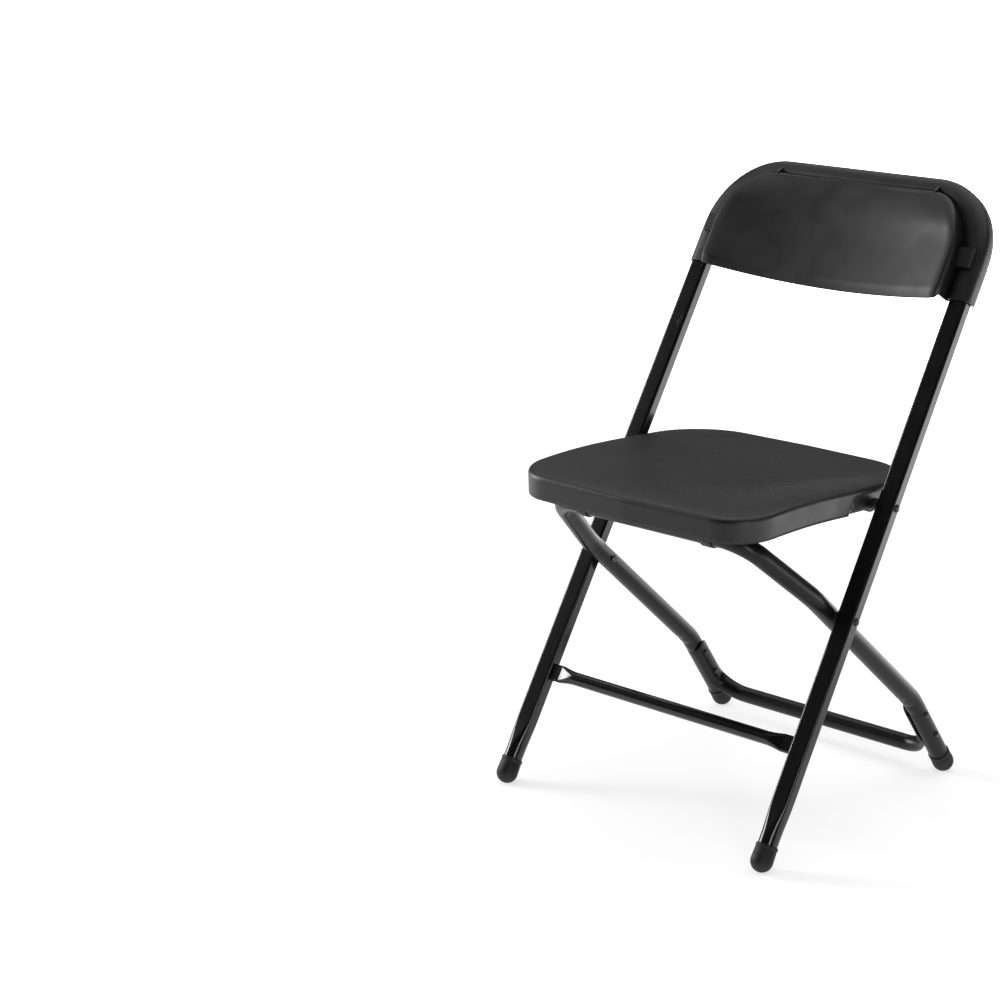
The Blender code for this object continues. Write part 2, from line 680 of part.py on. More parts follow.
def rear_brace(body, paint, count=14):
    """A round tube along the floor, whose upright ends are flattened against the legs."""
    corner = brace_point(BRACE_BOTTOM_Z)
    middle = Vector((0, corner.y, corner.z))
    tops = [brace_point(BRACE_TOP_Z), brace_point(BRACE_RIVETS_Z[0]), brace_point(BRACE_RIVETS_Z[1])]
    half = tops[:-1] + rounded([tops[-1], corner, middle], [BRACE_CORNER], step=math.radians(11))
    path = mirrored(half[:-1])

    def section_at(i, inset):
        share = smooth_share(path[i].z, *BRACE_FLAT_Z)
        radius = BRACE_RADIUS - inset
        section = []
        for turn in [math.tau * (k + 0.5) / count for k in range(count)]:
            plain = radius * math.cos(turn), radius * math.sin(turn)
            pairs = zip(plain, flattened(turn, inset))
            section.append([a + (b - a) * share for a, b in pairs])
        return section

    bm = hollow_sweep(path, Vector((1, 0, 0)), section_at)
    return add_object("rear_brace", bm, paint, body)


# ---------------------------------------------------------------- assembly
def build_front(body, paint, plastic, rubber, metal, nylon):
    tube = front_frame_tube(body, paint)
    front_crossbar(body, paint)
    backrest_shell(body, plastic)
    along = (front(leg_half(0.5), 0, 0.5) - front(LEG_HALF_FLOOR, 0, 0)).normalized()
    for word, side in SIDES:
        direction = Vector((side * along.x, along.y, along.z))
        foot_cap("front_foot_" + word, front(side * LEG_HALF_FLOOR, 0, 0), direction, body, rubber)
        stacking_bumper("stacking_bumper_" + word, side, body, plastic)
        backrest_rivet("backrest_rivet_" + word, side, body, metal)
        seat_leg, cross_leg = leg_half(SEAT_PIVOT), leg_half(CROSS_PIVOT)
        wall_in = SEAT_HALF_MIDDLE - SEAT_RECESS - SEAT_THICKNESS - 0.0024
        rivet("seat_pivot_rivet_" + word, wall_in, seat_leg + TUBE_WIDTH / 2 + GAP, SEAT_AXIS, side,
              body, metal)
        ring("seat_pivot_spacer_" + word, SEAT_HALF_MIDDLE - SEAT_RECESS + 0.0004,
             seat_leg - TUBE_WIDTH / 2 - GAP, SEAT_AXIS, side, PIN_HOLE, SPACER_RADIUS, body,
             nylon)
        rivet("cross_pivot_rivet_" + word, REAR_HALF_PIVOT - ROUND_RADIUS - GAP,
              cross_leg + TUBE_WIDTH / 2 + GAP, CROSS_AXIS, side, body, metal)
        ring("cross_pivot_washer_" + word, REAR_HALF_PIVOT + ROUND_RADIUS + GAP,
             cross_leg - TUBE_WIDTH / 2 - GAP, CROSS_AXIS, side, PIN_HOLE, WASHER_RADIUS, body,
             nylon)
    return tube


def build_rear(body, paint, rubber, metal, nylon):
    tube = rear_frame_tube(body, paint)
    brace = rear_brace(body, paint)
    bar = rear_upper(0, REAR_TOP)
    down = (rear_lower(0.05) - rear_lower(0)).normalized()
    for word, side in SIDES:
        floor_point = rear_lower(0)
        floor_point.x *= side
        direction = Vector((side * down.x, down.y, down.z))
        foot_cap("rear_foot_" + word, floor_point, direction, body, rubber)
        ring("slide_sleeve_" + word, *SLEEVE_ENDS, bar, side, ROUND_RADIUS + GAP, SLEEVE_RADIUS, body,
             nylon)
        for place, z in zip(("upper", "lower"), BRACE_RIVETS_Z):
            leg, inner = rear_lower(z), brace_point(z).x - BRACE_FLAT / 2 - GAP
            rivet(f"brace_rivet_{place}_{word}", inner, leg.x + ROUND_RADIUS + GAP, leg, side, body,
                  metal, pin=SMALL_PIN_RADIUS, head=SMALL_RIVET_HEAD, dome=0.0020)
    return tube, brace


def main():
    clear_scene()
    paint = make_material("black powder coat", (0.012, 0.012, 0.013), 0.28, 0.6)
    plastic = make_material("charcoal plastic", (0.022, 0.022, 0.024), 0.48, 0.0)
    rubber = make_material("black foot plastic", (0.010, 0.010, 0.010), 0.62, 0.0)
    metal = make_material("blackened rivet", (0.03, 0.03, 0.032), 0.35, 0.8)
    nylon = make_material("black nylon", (0.018, 0.018, 0.018), 0.5, 0.0)

    fixed = make_body("front_frame_axis", Vector((0, 0, 0)))
    seat = make_body("seat_axis", SEAT_AXIS)
    rear = make_body("rear_frame_axis", CROSS_AXIS)

    front_tube = build_front(fixed, paint, plastic, rubber, metal, nylon)
    rear_tube, brace = build_rear(rear, paint, rubber, metal, nylon)
    pan = seat_pan(seat, plastic)
    for word, side in SIDES:
        seat_guide("seat_guide_" + word, side, seat, nylon)

    drill("seat_pin_drill", SEAT_AXIS, PIN_HOLE, fixed, [front_tube, pan])
    drill("cross_pin_drill", CROSS_AXIS, PIN_HOLE, fixed, [front_tube, rear_tube])
    for place, z in zip(("upper", "lower"), BRACE_RIVETS_Z):
        drill(f"brace_drill_{place}", rear_lower(z), SMALL_PIN_HOLE, rear, [rear_tube, brace])
    bpy.context.view_layer.update()


main()
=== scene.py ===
"""The looks of the folding chair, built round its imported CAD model.

Metres, +Z up, in the frame of the CAD. Every piece is made in its rest place and rides on a CAD
body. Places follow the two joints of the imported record, sizes repeat the CAD source's.
"""
import json
import math

import bmesh
import bpy
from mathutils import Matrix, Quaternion, Vector


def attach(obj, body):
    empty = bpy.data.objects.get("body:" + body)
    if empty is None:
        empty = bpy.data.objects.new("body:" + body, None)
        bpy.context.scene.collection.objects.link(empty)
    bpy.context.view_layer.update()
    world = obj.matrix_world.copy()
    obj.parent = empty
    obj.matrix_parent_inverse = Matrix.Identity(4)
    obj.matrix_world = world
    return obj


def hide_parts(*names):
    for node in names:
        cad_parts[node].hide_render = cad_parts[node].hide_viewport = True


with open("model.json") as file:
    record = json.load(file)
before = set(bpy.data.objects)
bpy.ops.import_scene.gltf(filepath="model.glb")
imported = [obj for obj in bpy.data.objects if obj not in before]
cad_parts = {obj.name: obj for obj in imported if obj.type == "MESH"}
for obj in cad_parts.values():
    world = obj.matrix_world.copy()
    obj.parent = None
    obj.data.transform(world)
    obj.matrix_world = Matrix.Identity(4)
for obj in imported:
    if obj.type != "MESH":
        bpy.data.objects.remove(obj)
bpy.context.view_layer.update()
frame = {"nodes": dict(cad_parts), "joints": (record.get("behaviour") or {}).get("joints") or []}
JOINTS = {joint["name"]: Vector(joint["pos_m"]) for joint in frame["joints"]}
SEAT_AXIS = JOINTS["seat_fold"]
CROSS_AXIS = JOINTS["rear_leg_fold"]

# ---------------- front frame
FRONT_LEAN = math.atan2(SEAT_AXIS.y - CROSS_AXIS.y, SEAT_AXIS.z - CROSS_AXIS.z)
SIN_F, COS_F = math.sin(FRONT_LEAN), math.cos(FRONT_LEAN)
FRONT_FLOOR_Y = SEAT_AXIS.y - SEAT_AXIS.z * math.tan(FRONT_LEAN)
SEAT_PIVOT = SEAT_AXIS.z / COS_F  # distances along the front leg
CROSS_PIVOT = CROSS_AXIS.z / COS_F
CROSSBAR_ALONG = 0.1617
LEG_HALF_FLOOR = 0.2138
LEG_HALF_TOP = 0.2084
ARCH_TOP = 0.9045
ARCH_RADIUS = 0.088
TUBE_WIDTH = 0.026  # flattened front tube, across the chair
TUBE_DEPTH = 0.017  # and through the frame
TUBE_CORNER = 0.004
ROUND_RADIUS = 0.0127  # the same tube where it is round
ROUND_BELOW = 0.045
FLAT_ABOVE = 0.095
TUBE_FOOT = 0.012  # how far up the leg its end is, inside the cap
CROSSBAR_RADIUS = 0.0089
PINCH = 0.016  # length of the crossbar's flat ends
PINCH_FADE = 0.024  # and of the stretch where they turn round
PINCH_TALLER, PINCH_THINNER = 0.0055, 0.0105
PINCH_RIDGE, PINCH_RIDGE_HALF = 0.0012, 0.0022

# ---------------- rear frame
REAR_LEAN = math.radians(48.9)
REAR_FOOT_LEAN = math.radians(35.6)
REAR_BEND = 0.243
REAR_TUBE_END = 0.011  # height of the tube's end inside its cap
REAR_TOP = 0.178
REAR_TAPER_START = 0.045
REAR_HALF_PIVOT = 0.1840
REAR_HALF_BEND = 0.1873
REAR_HALF_FLOOR = 0.1897
REAR_HALF_TOP = 0.1508
REAR_CORNERS = (0.09, 0.12, 0.045)  # bend radii: foot bend, taper, top bar
DENT_DEPTH = 0.0008
DENT_HALF = 0.0095  # half the length of a dent's wave at the foot bend
DENT_REACH = 0.024  # and how far from the bend the dents go
BRACE_RADIUS = 0.0111
BRACE_TOP_Z = 0.112
BRACE_BOTTOM_Z = 0.029
BRACE_RIVETS_Z = (0.098, 0.064)
BRACE_FLAT = 0.0034
BRACE_FLAT_TURN = math.radians(66)
BRACE_FLAT_Z = (0.028, 0.054)
BRACE_CORNER = 0.036
BRACE_TONGUE = 0.014  # height over which the flat end narrows to a round tongue
GAP = 0.0003
BRACE_REACH = ROUND_RADIUS + GAP + BRACE_FLAT / 2

CAP_RADIUS = 0.0144
CAP_LENGTH = 0.036
CAP_BALL = 0.0132
CAP_FLOOR = 0.0115  # how far up its hole starts
CAP_RIM = ((0.0062, 0.0006), (0.0052, 0.0009), (0.0042, 0.0002), (0.0014, 0.0001),
           (0.0004, 0.0005), (0, 0.0012))  # (down from its upper end, in from its radius)

# ---------------- backrest
SHELL_BOTTOM = 0.760
SHELL_LIP = 0.7495
SHELL_THICKNESS = 0.0024
SHELL_HALF = 0.0168
SHELL_FRONT = 0.012
SHELL_REAR = -0.0085
COVER_SQUARENESS = 0.7
PANEL_EDGE = 0.0174  # panel's side wall, inward from the tube's centre line
LEDGE_EDGE = 0.0055  # the same along the top, where only a groove parts them
LEDGE_TURNS = (math.radians(20), math.radians(84))
GROOVE_WIDTH = 0.0028
GROOVE_DEPTH = 0.0013
VALLEY_FLOOR = 0.0045
PANEL_SIDE = 0.032  # panel's height in front of the frame at its sides
PANEL_SHOULDER = 0.018  # where its top edge starts to turn down
PANEL_TOP = 0.0128  # in the middle of its top edge
PANEL_MIDDLE = 0.007  # and in its middle
PANEL_CORNER = 0.0046
PANEL_ROWS_TURN = 0.80  # below this the panel's rows stretch down to the lip
PANEL_RISE = (0.800, 0.905)  # where the panel's middle comes forward to its top edge
LIP_ARCH = 0.003  # how much higher the lip is at the sides
LIP_CORNER = 0.007
LIP_ROLL = 0.011  # height of the lip's band that turns back
LIP_DEPTH = 0.0045
BUMPER_LOW, BUMPER_HIGH = 0.8025, 0.8285
BUMPER_FRONT = 0.0175
BUMPER_HALF = 0.0052  # outward from the tube's centre line
BUMPER_UNDER = 0.0150  # how far in it follows the cover
BUMPER_INNER = 0.0170  # and where it reaches down into the valley
RIB_U, RIB_WIDTH = 0.1265, 0.0030  # ledge ribs: place across the chair, and width
RIB_LOW, RIB_HIGH = 0.8970, 0.9095
RIB_FOOT, RIB_FRONT = 0.0112, 0.0182
BACK_RIBS = ((0.150, 0.766), (0.166, 0.766))
BACK_RIB_RUN, BACK_RIB_RISE = 0.018, 0.030
BACK_RIB_DEPTH, BACK_RIB_WIDTH = 0.007, 0.0016
RIVET_PLACE = 0.816
SHELL_RIVET = (0.0048, 0.0046, 0.0003, 0.0023)  # collar and dome radii, collar and dome heights

# ---------------- seat
SEAT_FRONT = 0.2645
SEAT_FRONT_CORNER = 0.2585
SEAT_REAR = 0.122
SEAT_REAR_CORNER = 0.116
SEAT_HALF_FRONT = 0.190
SEAT_HALF_MIDDLE = 0.1955
SEAT_HALF_REAR = 0.192
SEAT_RIM_HEIGHT = 0.0252
SEAT_RAKE = math.tan(math.radians(3.5))
SEAT_FRONT_DROP = 0.013
SEAT_DROP_FROM, SEAT_DROP_OVER = 0.085, 0.179
SEAT_SLOPE_ZERO = 0.0035  # where the rim is at its stated height, behind the pivot
SEAT_REAR_RISE = 0.002
SEAT_RISE_FROM, SEAT_RISE_OVER = 0.029, 0.090
SEAT_DISH = 0.010
SEAT_THICKNESS = 0.0028
SEAT_CORNERS = (0.056, 0.5, 0.093)  # plan radii: front corners, sides, rear corners
SEAT_SKIRT = 0.032
SEAT_SKIRT_RELIEF = 0.0145  # how much shallower it is at the rear
SEAT_RELIEF_Y = (0.02, 0.075)  # and where it turns shallow
SEAT_EAR = (-0.011, 0.0045, 0.014)  # ear at the pin: depth, rise, and over what length
SEAT_DRAFT = 0.0006  # how far the skirt leans in at its lower edge
SEAT_DISH_SHARES = (0.15, 0.97)  # of the way out to the rim, where the dish rises
SEAT_SIDE = 0.060  # the sides' middle stretch, before and behind the pivot
SEAT_RECESS = 0.0065
RECESS_AHEAD = (0.036, 0.018, 0.006)  # its front edge: place at the top, slant down, softness
RECESS_BEHIND = (0.042, 0.006, 0.010)
RECESS_OUT = 0.15  # only the sides, further out than this, have it
SEAT_CENTRE_Y = -0.070
RIM_RADIUS = 0.0065
DRAIN_HOLES = ((0.0, 0.046), (-0.011, 0.030), (0.011, 0.030))
DRAIN_RADIUS = 0.0011
DRAIN_CUT = 0.05  # length of the cutter, up from the pivot's height

PIN_RADIUS = 0.0030
SMALL_PIN_RADIUS = 0.0024
RIVET_HEAD, RIVET_DOME = 0.0052, 0.0026
SMALL_HEAD, SMALL_DOME = 0.0046, 0.0020
INNER_HEAD = ((-0.0018, 0), (-0.0018, 0.80), (-0.0012, 0.92), (0, 0.92))  # (along, share of radius)
COLLAR, DOME_SHARE = 0.0004, 0.97  # collar under a dome, and the dome's share of its radius
PIN_PLAY = 0.0002  # between a pin or a tube and the ring round it
SPACER_RADIUS, WASHER_RADIUS, SLEEVE_RADIUS = 0.0075, 0.008, 0.0149
SLEEVE_ENDS = (0.093, 0.109)
PIN_INSIDE = 0.0056  # how far the seat's pin starts inside the seat's wall
SIDES = (("left", 1), ("right", -1))

# ---------------- camera
CAMERA_PLACE = Vector((1.95551, -2.52501, 1.28443))
CAMERA_AZIMUTH = math.radians(43.544)
CAMERA_ELEVATION = math.radians(15.814)
CAMERA_ROLL = math.radians(-0.407)
CAMERA_LENS = 91.314


# ---------------- places
def front(u, forward, along):
    """A point of the leaning front frame: across, in front of the tube's centre, and along it."""
    y = FRONT_FLOOR_Y + along * SIN_F - forward * COS_F
    return Vector((u, y, along * COS_F + forward * SIN_F))


def along_front(point):
    """How far along the front frame a point is."""
    return (point - front(0, 0, 0)).dot(Vector((0, SIN_F, COS_F)))


def leg_half(along):
    return LEG_HALF_FLOOR + (LEG_HALF_TOP - LEG_HALF_FLOOR) * along / ARCH_TOP


def rear_upper(u, distance):
    """A point of the rear frame's straight upper part, by its distance above the cross pivot."""
    return CROSS_AXIS + Vector((u, -distance * math.sin(REAR_LEAN), distance * math.cos(REAR_LEAN)))


REAR_BEND_POINT = rear_upper(REAR_HALF_BEND, -REAR_BEND)


def rear_lower(z):
    """The centre of the left rear leg below its bend, at a height."""
    down = REAR_BEND_POINT.z - z
    share = down / REAR_BEND_POINT.z
    x = REAR_HALF_BEND + (REAR_HALF_FLOOR - REAR_HALF_BEND) * share
    return Vector((x, REAR_BEND_POINT.y + down * math.tan(REAR_FOOT_LEAN), z))


def smooth_share(value, low, high):
    share = min(max((value - low) / (high - low), 0.0), 1.0)
    return share * share * (3 - 2 * share)


# ---------------- paths and meshes
def rounded(points, radii, step=math.radians(4)):
    """Replace each inner corner of an open path with an arc of the given radius."""
    path = [points[0]]
    for before, corner, after, radius in zip(points, points[1:], points[2:], radii):
        back, ahead = (before - corner).normalized(), (after - corner).normalized()
        turn = math.pi - back.angle(ahead)
        reach = radius * math.tan(turn / 2)
        centre = corner + (back + ahead).normalized() * math.hypot(radius, reach)
        start, end = corner + back * reach - centre, corner + ahead * reach - centre
        count = max(2, round(turn / step))
        for i in range(count + 1):
            share = i / count
            weights = math.sin((1 - share) * turn), math.sin(share * turn)
            path.append(centre + (start * weights[0] + end * weights[1]) / math.sin(turn))
    path.append(points[-1])
    return path


def spaced(path, longest):
    """Add points to a path so that no stretch is longer than a length."""
    points = [path[0]]
    for before, after in zip(path, path[1:]):
        count = max(1, math.ceil((after - before).length / longest))
        points += [before.lerp(after, (i + 1) / count) for i in range(count)]
    return points


def on_side(p, side):
    """A point or direction of the left half, or its mirror image when the side is -1."""
    return Vector((side * p.x, p.y, p.z))


def mirrored(path):
    """Continue a half path, which ends at X = 0 or before it, with its mirror image."""
    return path + [on_side(p, -1) for p in reversed(path) if p.x > 1e-6]


def tube_section(width, depth, corner, per_corner=8):
    """A rounded rectangle as (across, through) pairs, a circle when the corners fill it."""
    points = []
    for quarter, (sx, sy) in enumerate([(1, 1), (-1, 1), (-1, -1), (1, -1)]):
        cx, cy = sx * (width / 2 - corner), sy * (depth / 2 - corner)
        for i in range(per_corner):
            angle = math.pi / 2 * (quarter + (i + 0.5) / per_corner)
            points.append((cx + corner * math.cos(angle), cy + corner * math.sin(angle)))
    return points


def circle(radius, count):
    turns = [math.tau * (i + 0.5) / count for i in range(count)]
    return [(radius * math.cos(a), radius * math.sin(a)) for a in turns]


def sweep(path, side, section_at):
    """A closed bmesh along a path; section_at(i) is its outline there, as (side, other) pairs."""
    bm = bmesh.new()
    rings = []
    last = None
    for i, point in enumerate(path):
        before, after = path[max(i - 1, 0)], path[min(i + 1, len(path) - 1)]
        tangent = (after - before).normalized()
        if last is not None:
            side = last.rotation_difference(tangent) @ side
        side = (side - tangent * side.dot(tangent)).normalized()
        last = tangent
        other = tangent.cross(side)
        rings.append([bm.verts.new(point + side * a + other * b) for a, b in section_at(i)])
    skin(bm, rings)
    bm.faces.new(reversed(rings[0]))
    bm.faces.new(rings[-1])
    return faced_out(bm)


def skin(bm, rings):
    """Faces between neighbouring closed rings; a pole is a ring of one vertex repeated."""
    count = len(rings[0])
    for low, high in zip(rings, rings[1:]):
        for i in range(count):
            j = (i + 1) % count
            bm.faces.new(list(dict.fromkeys([low[i], low[j], high[j], high[i]])))


def faced_out(bm):
    bmesh.ops.recalc_face_normals(bm, faces=bm.faces)
    return bm


def turned(profile, start, direction, count=48, closed=False):
    """Turn (distance along, radius) pairs about an axis from start along direction."""
    direction = direction.normalized()
    across = direction.orthogonal().normalized()
    other = direction.cross(across)
    bm = bmesh.new()
    rings = []
    for along, radius in profile:
        centre = start + direction * along
        if radius == 0:
            rings.append([bm.verts.new(centre)] * count)
            continue
        rings.append([bm.verts.new(centre + across * a + other * b) for a, b in circle(radius, count)])
    skin(bm, rings + rings[:1] if closed else rings)
    return faced_out(bm)


def extruded(outline, offset):
    """A closed bmesh between a flat outline of points and its copy moved by an offset."""
    bm = bmesh.new()
    near = [bm.verts.new(p) for p in outline]
    far = [bm.verts.new(p + offset) for p in outline]
    skin(bm, [near, far])
    bm.faces.new(near)
    bm.faces.new(far)
    return faced_out(bm)


def arc(centre, radius, start, end, count):
    """Points (a, b) on an arc, angles in degrees."""
    turns = [math.radians(start + (end - start) * i / count) for i in range(count + 1)]
    return [(centre[0] + radius * math.cos(t), centre[1] + radius * math.sin(t)) for t in turns]


def dome_profile(base, height, radius, degrees):
    """The round part of a rivet head as (distance along, radius) pairs, up to its pole."""
    turns = [math.radians(d) for d in degrees]
    return [(base + height * math.sin(a), radius * math.cos(a)) for a in turns] + [(base + height, 0)]


def as_mesh(name, bm):
    mesh = bpy.data.meshes.new(name)
    bm.to_mesh(mesh)
    bm.free()
    return mesh


def placed(name, data):
    """A new object in the scene."""
    thing = bpy.data.objects.new(name, data)
    bpy.context.scene.collection.objects.link(thing)
    return thing


def add_piece(name, bm, material, body, stands_for=(), sharp=math.radians(35), bevel=0.0):
    """Turn a bmesh into a piece that rides on a body and may stand for CAD nodes."""
    mesh = as_mesh(name, bm)
    mesh.shade_smooth()
    mesh.set_sharp_from_angle(angle=sharp)
    mesh.materials.append(material)
    thing = placed(name, mesh)
    if bevel:
        soften(thing, bevel)
    if stands_for:
        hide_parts(*stands_for)
    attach(thing, body)
    return thing


def soften(thing, width):
    """Round a piece's sharp edges."""
    edge = thing.modifiers.new("soft edges", "BEVEL")
    edge.width = width
    edge.segments = 3
    edge.limit_method = "ANGLE"
    edge.angle_limit = math.radians(30)
    edge.harden_normals = True


def give_wall(thing, thickness):
    """Thicken a moulding inwards from its outer surface."""
    wall = thing.modifiers.new("wall", "SOLIDIFY")
    wall.thickness = thickness
    wall.offset = -1
    wall.use_even_offset = True


def flatten_shading(thing):
    """Let the large flat faces of a piece decide its shading."""
    normals = thing.modifiers.new("flat faces", "WEIGHTED_NORMAL")
    normals.keep_sharp = True
    normals.weight = 80


# ---------------- materials
def map_range(tree, value, low, high, to_low, to_high):
    """A smooth step of a value."""
    node = tree.nodes.new("ShaderNodeMapRange")
    node.interpolation_type = "SMOOTHSTEP"
    sockets = ("From Min", "From Max", "To Min", "To Max")
    for socket, number in zip(sockets, (low, high, to_low, to_high)):
        node.inputs[socket].default_value = number
    tree.links.new(value, node.inputs["Value"])
    return node.outputs["Result"]


class Surface:
    """A Principled material with its noise nodes, all in the piece's own coordinates."""

    def __init__(self, name, roughness, metallic=0.0, specular=0.5):
        self.material = bpy.data.materials.new(name)
        self.material.use_nodes = True
        self.tree = self.material.node_tree
        self.shader = self.tree.nodes["Principled BSDF"]
        self.shader.inputs["Roughness"].default_value = roughness
        self.shader.inputs["Metallic"].default_value = metallic
        self.shader.inputs["Specular IOR Level"].default_value = specular
        self.places = self.tree.nodes.new("ShaderNodeTexCoord").outputs["Object"]

    def noise(self, scale, detail=3.0, stretch=None, roughness=0.5):
        places = self.places
        if stretch:
            mapping = self.tree.nodes.new("ShaderNodeMapping")
            mapping.inputs["Scale"].default_value = stretch
            self.tree.links.new(places, mapping.inputs["Vector"])
            places = mapping.outputs["Vector"]
        node = self.tree.nodes.new("ShaderNodeTexNoise")
        node.inputs["Scale"].default_value = scale
        node.inputs["Detail"].default_value = detail
        node.inputs["Roughness"].default_value = roughness
        self.tree.links.new(places, node.inputs["Vector"])
        return node.outputs["Fac"]

    def height(self):
        """The piece's own Z, in metres over the floor."""
        split = self.tree.nodes.new("ShaderNodeSeparateXYZ")
        self.tree.links.new(self.places, split.inputs["Vector"])
        return split.outputs["Z"]

    def mapped(self, value, low, high, to_low=0.0, to_high=1.0):
        return map_range(self.tree, value, low, high, to_low, to_high)

    def product(self, first, second):
        node = self.tree.nodes.new("ShaderNodeMath")
        node.operation = "MULTIPLY"
        self.tree.links.new(first, node.inputs[0])
        self.tree.links.new(second, node.inputs[1])
        return node.outputs["Value"]

    def mix(self, share, dark, light):
        """A colour between two, either of which may be a socket."""
        node = self.tree.nodes.new("ShaderNodeMix")
        node.data_type = "RGBA"
        self.tree.links.new(share, node.inputs["Factor"])
        for socket, colour in ((node.inputs[6], dark), (node.inputs[7], light)):
            if isinstance(colour, tuple):
                socket.default_value = (*colour, 1)
            else:
                self.tree.links.new(colour, socket)
        return node.outputs[2]

    def colour(self, output):
        self.tree.links.new(output, self.shader.inputs["Base Color"])

    def gloss(self, output):
        self.tree.links.new(output, self.shader.inputs["Roughness"])

    def bump(self, layers):
        """Layers of (height socket, strength, distance in metres), finest last."""
        normal = None
        for height, strength, distance in layers:
            node = self.tree.nodes.new("ShaderNodeBump")
            node.inputs["Strength"].default_value = strength
            node.inputs["Distance"].default_value = distance
            self.tree.links.new(height, node.inputs["Height"])
            if normal is not None:
                self.tree.links.new(normal, node.inputs["Normal"])
            normal = node.outputs["Normal"]
        self.tree.links.new(normal, self.shader.inputs["Normal"])


def powder_coat(name, specular, smooth, worn):
    """Black powder coat: orange peel, a fine speckle, and worn patches duller than the rest."""
    paint = Surface(name, smooth, specular=specular)
    speckle = paint.mapped(paint.noise(1900, 1.0), 0.56, 0.72)
    patches = paint.mapped(paint.noise(22, 4.0), 0.42, 0.70)
    base = paint.mix(patches, (0.0030, 0.0030, 0.0032), (0.0055, 0.0055, 0.0057))
    paint.colour(paint.mix(speckle, base, (0.018, 0.018, 0.019)))
    scuffs = paint.mapped(paint.noise(60, 5.0, stretch=(1, 1, 0.12)), 0.60, 0.74)
    paint.gloss(paint.mapped(paint.product(patches, scuffs), 0.0, 1.0, smooth, worn))
    paint.bump([(paint.noise(420, 1.0), 0.22, 0.00012), (paint.noise(1900, 1.0), 0.30, 0.00004)])
    return paint.material


def moulded_plastic():
    """Satin charcoal plastic: a fine moulded grain, flow marks, and a few rubbed places."""
    plastic = Surface("moulded_plastic", 0.45, specular=0.5)
    flow = plastic.noise(9, 4.0, stretch=(1, 0.35, 1))
    tone = plastic.mapped(flow, 0.3, 0.7)
    base = plastic.mix(tone, (0.0040, 0.0040, 0.0042), (0.0066, 0.0066, 0.0068))
    rubbed = plastic.mapped(plastic.noise(48, 6.0, roughness=0.65), 0.60, 0.78)
    plastic.colour(plastic.mix(rubbed, base, (0.0095, 0.0095, 0.0098)))
    plastic.gloss(plastic.mapped(plastic.noise(30, 5.0), 0.3, 0.7, 0.40, 0.50))
    plastic.bump([(plastic.noise(14, 2.0), 0.12, 0.0006), (plastic.noise(1300, 2.0), 0.35, 0.00006)])
    return plastic.material


def foot_plastic():
    """Matte black cap plastic, dusty and scraped near the floor."""
    cap = Surface("foot_plastic", 0.62, specular=0.4)
    grime = cap.product(cap.mapped(cap.height(), 0.0, 0.016, 1.0, 0.0),
                        cap.mapped(cap.noise(160, 6.0), 0.35, 0.70, 0.2, 1.0))
    cap.colour(cap.mix(grime, (0.0055, 0.0055, 0.0057), (0.024, 0.023, 0.022)))
    cap.gloss(cap.mapped(cap.noise(90, 4.0), 0.3, 0.7, 0.52, 0.68))
    cap.bump([(cap.noise(120, 3.0), 0.2, 0.0002), (cap.noise(1500, 2.0), 0.4, 0.00007)])
    return cap.material


def rivet_metal():
    """Blackened steel with brighter rubbed spots."""
    steel = Surface("rivet_steel", 0.3, metallic=0.35)
    rubbed = steel.mapped(steel.noise(420, 4.0), 0.45, 0.72)
    steel.colour(steel.mix(rubbed, (0.010, 0.010, 0.010), (0.060, 0.058, 0.056)))
    steel.gloss(steel.mapped(steel.noise(700, 3.0), 0.3, 0.7, 0.24, 0.42))
    steel.bump([(steel.noise(900, 3.0), 0.25, 0.00004)])
    return steel.material


def nylon():
    """Black nylon with faint machining lines."""
    part = Surface("black_nylon", 0.5)
    tone = part.mapped(part.noise(150, 4.0), 0.3, 0.7)
    part.colour(part.mix(tone, (0.008, 0.008, 0.008), (0.014, 0.014, 0.014)))
    part.gloss(part.mapped(part.noise(240, 3.0), 0.3, 0.7, 0.42, 0.58))
    part.bump([(part.noise(900, 2.0, stretch=(1, 0.2, 0.2)), 0.3, 0.00005)])
    return part.material


def bumper_rubber():
    """Dull black rubber."""
    rubber = Surface("bumper_rubber", 0.58, specular=0.4)
    bloom = rubber.mapped(rubber.noise(300, 4.0), 0.4, 0.75)
    rubber.colour(rubber.mix(bloom, (0.004, 0.004, 0.004), (0.010, 0.010, 0.010)))
    rubber.gloss(rubber.mapped(rubber.noise(500, 3.0), 0.3, 0.7, 0.50, 0.66))
    rubber.bump([(rubber.noise(1100, 2.0), 0.4, 0.00006)])
    return rubber.material


FRONT_PAINT = powder_coat("front_powder_coat", 0.52, 0.17, 0.34)
REAR_PAINT = powder_coat("rear_powder_coat", 0.26, 0.30, 0.46)
PLASTIC = moulded_plastic()
CAP_PLASTIC = foot_plastic()
STEEL = rivet_metal()
NYLON = nylon()
RUBBER = bumper_rubber()


# ---------------- front frame
def front_tube():
    stations = [TUBE_FOOT, ROUND_BELOW, FLAT_ABOVE]
    leg = [front(leg_half(s), 0, s) for s in stations]
    corner = front(LEG_HALF_TOP, 0, ARCH_TOP)
    arch = rounded([leg[-1], corner, front(0, 0, ARCH_TOP)], [ARCH_RADIUS])
    path = mirrored(spaced(leg[:-1] + arch, 0.01)[:-1])

    def section_at(i):
        share = smooth_share(along_front(path[i]), ROUND_BELOW, FLAT_ABOVE)
        width = 2 * ROUND_RADIUS + (TUBE_WIDTH - 2 * ROUND_RADIUS) * share
        depth = 2 * ROUND_RADIUS + (TUBE_DEPTH - 2 * ROUND_RADIUS) * share
        return tube_section(width, depth, ROUND_RADIUS + (TUBE_CORNER - ROUND_RADIUS) * share)

    tube = add_piece("front_tube_bent", sweep(path, Vector((1, 0, 0)), section_at), FRONT_PAINT,
                     "front_frame", ["front_frame_tube"])
    flatten_shading(tube)


